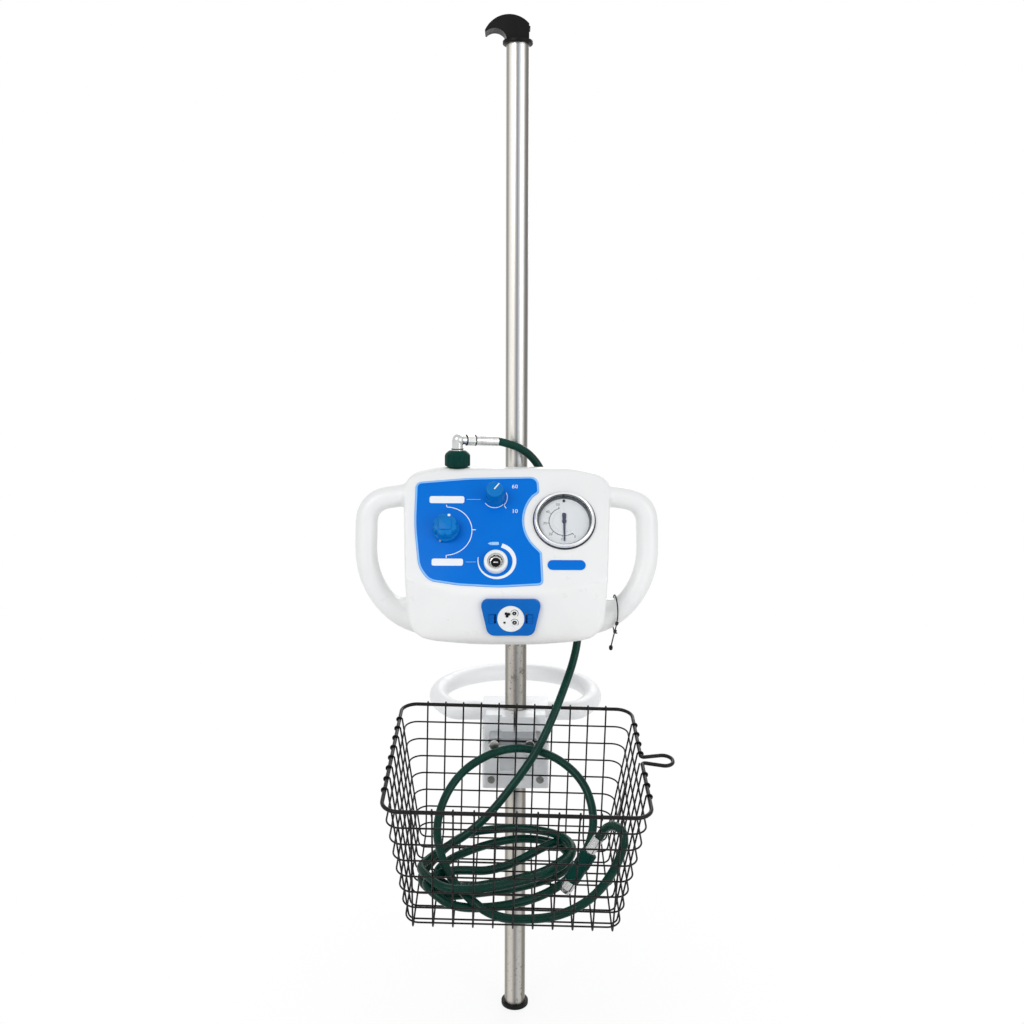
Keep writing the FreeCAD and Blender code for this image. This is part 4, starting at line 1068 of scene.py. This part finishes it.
def makeInlet():
    v = inletValues
    ix, iy = consoleValues["inlet"]
    seat = consoleValues["inletSeat"]
    up = Vector((0, 0, 1))
    nut = [(8.0, 0), (16.8, 0), (17.9, 1.0), (18.0, 2.0), (18.0, 14.5), (17.2, 16.4), (15.6, 18.4), (13.0, 20.6),
           (11.5, 21.5), (8.4, 21.5), (8.0, 21.0), (8.0, 0)]
    turnedAlong("inlet_grip_nut", nut, (ix, iy, seat + v["nutLift"]), up, "greenNut", "inlet_nut",
                ["inlet_hand_nut"], 112, ribs(14, 0.075, 1.4, 15.8), 40)
    dressNodes("greenNut", 0, "inlet_body")
    dressNodes("nickel", 0.3, "inlet_nipple", "hose_ferrules")
    dressNodes("nickel", 0.4, "hose_elbow", angle=50)
    dressNodes("nickel", 0.5, "hose_hex_nut")
    yaw, dip = radians(v["yaw"]), radians(v["dip"])
    out = Vector((cos(yaw) * cos(dip), sin(yaw) * cos(dip), -sin(dip)))
    # dark rings drawn as seals on the dark lines beside the fittings; those lines may be only shadow, which would
    # make these rings painted shade
    for i, reach in enumerate(v["seals"]):
        sealRing(f"hose_seal_{i + 1}", *v["hoseSeal"], Vector(supplyRoute[0]) + out * reach, out)
    sealRing("neck_seal", *v["neckSeal"], (ix, iy, seat + v["neckLift"]), up)


def makeHoseEnd():
    last = Vector(endRoute[-1])
    out = (last - Vector(endRoute[-2])).normalized()
    nut = [(6.6, 0), (9.8, 0), (10.9, 1.0), (11.0, 2.0), (11.0, 20.0), (10.4, 21.4), (9.9, 22.2), (9.9, 40.5),
           (9.4, 43.4), (8.4, 45.0), (6.9, 45.0), (6.6, 44.6), (6.6, 0)]
    gripNut = turnedAlong("end_grip_nut", nut, last + out * inletValues["endNutReach"], out, "greenNut", "end_nut",
                          ["end_hand_nut"], 96, ribs(12, 0.085, 1.2, 20.8), 40)
    dressNodes("nickel", 0.4, "end_nipple")
    return [gripNut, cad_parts["end_nipple"]]


makeInlet()
hoseEndPieces = makeHoseEnd()
print("connector and gas fittings ready")


# ---- pole, clamps, loop handle

def makePoleAndClamps():
    dressNodes("stainless", 0.3, "pole_tube")
    dressNodes("black", 0.5, "pole_foot_cap")
    dressNodes("black", 0.6, "pole_hook_cap")
    dressNodes("casting", 0.9, "handle_clamp_front", "handle_clamp_rear")
    dressNodes("zinc", 0.4, "handle_clamp_bolts", "clamp_screw")
    dressNodes("loop", 0, "loop_handle", angle=50)
    dressNodes("aluminium", 0.6, "clamp_frame")
    dressNodes("aluminium", 0.5, "clamp_jaw")
    dressNodes("black", 0.9, "clamp_knob")
    dressNodes("zinc", 0.25, "housing_screws")
    dressNodes("rubber", 0.4, "console_feet")


makePoleAndClamps()
print("pole and clamps ready")


# ---- basket

def rimWrap(place, toward):
    # the end of an upright curled over the rim; toward points out of the basket
    out = Vector(toward)
    radius = basketValues["wrapRadius"]
    turn = []
    for k in range(9):
        a = radians(-165 + 235 * k / 8)
        turn.append(Vector(place) + out * radius * cos(a) - Vector((0, 0, radius * sin(a))))
    return [tuple((basketPlace @ (p * mm)) / mm) for p in turn]


def makeBasket():
    walls = [f"basket_{side}_wires" for side in ("front", "back", "left", "right", "floor")]
    dressNodes("wire", 0, "basket_rim", *walls, angle=60)
    dressNodes("grey", 0.8, "basket_bracket")
    dressNodes("zinc", 0.4, "bracket_screws")
    dressNodes("black", 0.5, "basket_strap")
    v = basketValues
    wraps = []
    for x in [v["mesh"] * k for k in range(-5, 6)]:
        wraps += [rimWrap((x, side * v["halfDepth"], 0), (0, side, 0)) for side in (1, -1)]
    for y in [v["mesh"] * (k - 3.5) for k in range(8)]:
        wraps.append(rimWrap((-v["halfWidth"], y, 0), (-1, 0, 0)))
        if abs(y - v["eye"]) > v["eyeRoom"]:
            wraps.append(rimWrap((v["halfWidth"], y, 0), (1, 0, 0)))
    rodPiece("rim_wraps", wraps, v["wrapWire"] / 2, "wire", sides=3, resolution=4)


makeBasket()
print("basket ready")


# ---- tether bead and knots, inner parts

def makeTetherEnds():
    bead = [(0, 0.4), (1.5, 0), (2.3, -0.9), (2.7, -2.6), (2.6, -4.6), (2.0, -6.3), (1.0, -6.9), (0, -7.0)]
    pieces = [turnedAlong("tether_bead_shape", bead, (131, -110, 606.2), (0, 0, 1), "rubber",
                          stands=["tether_bead"], steps=28)]
    knot = [(0, -2.6), (1.6, -2.1), (2.4, -0.8), (2.2, 0.9), (2.6, 1.6), (1.7, 2.7), (0, 3.1)]
    for i, place in enumerate(((138.6, -110.6, 637), (136.2, -110.4, 626))):
        pieces.append(turnedAlong(f"tether_knot_{i + 1}", knot, place, (0.3, 0, 1), "string", steps=20))
    return pieces


def makeInnerParts():
    dressNodes("zinc", 0, "mode_stem", "rate_stem")
    dressNodes("brass", 0, "valve_cartridges", "gauge_movement")
    dressNodes("aluminium", 0, "valve_manifold", "pressure_regulator")
    dressNodes("clearTube", 0, "air_tubes")


declareCords(gasHose, tetherString, makeTetherEnds())
makeInnerParts()
print("inner parts ready")

bpy.context.view_layer.update()
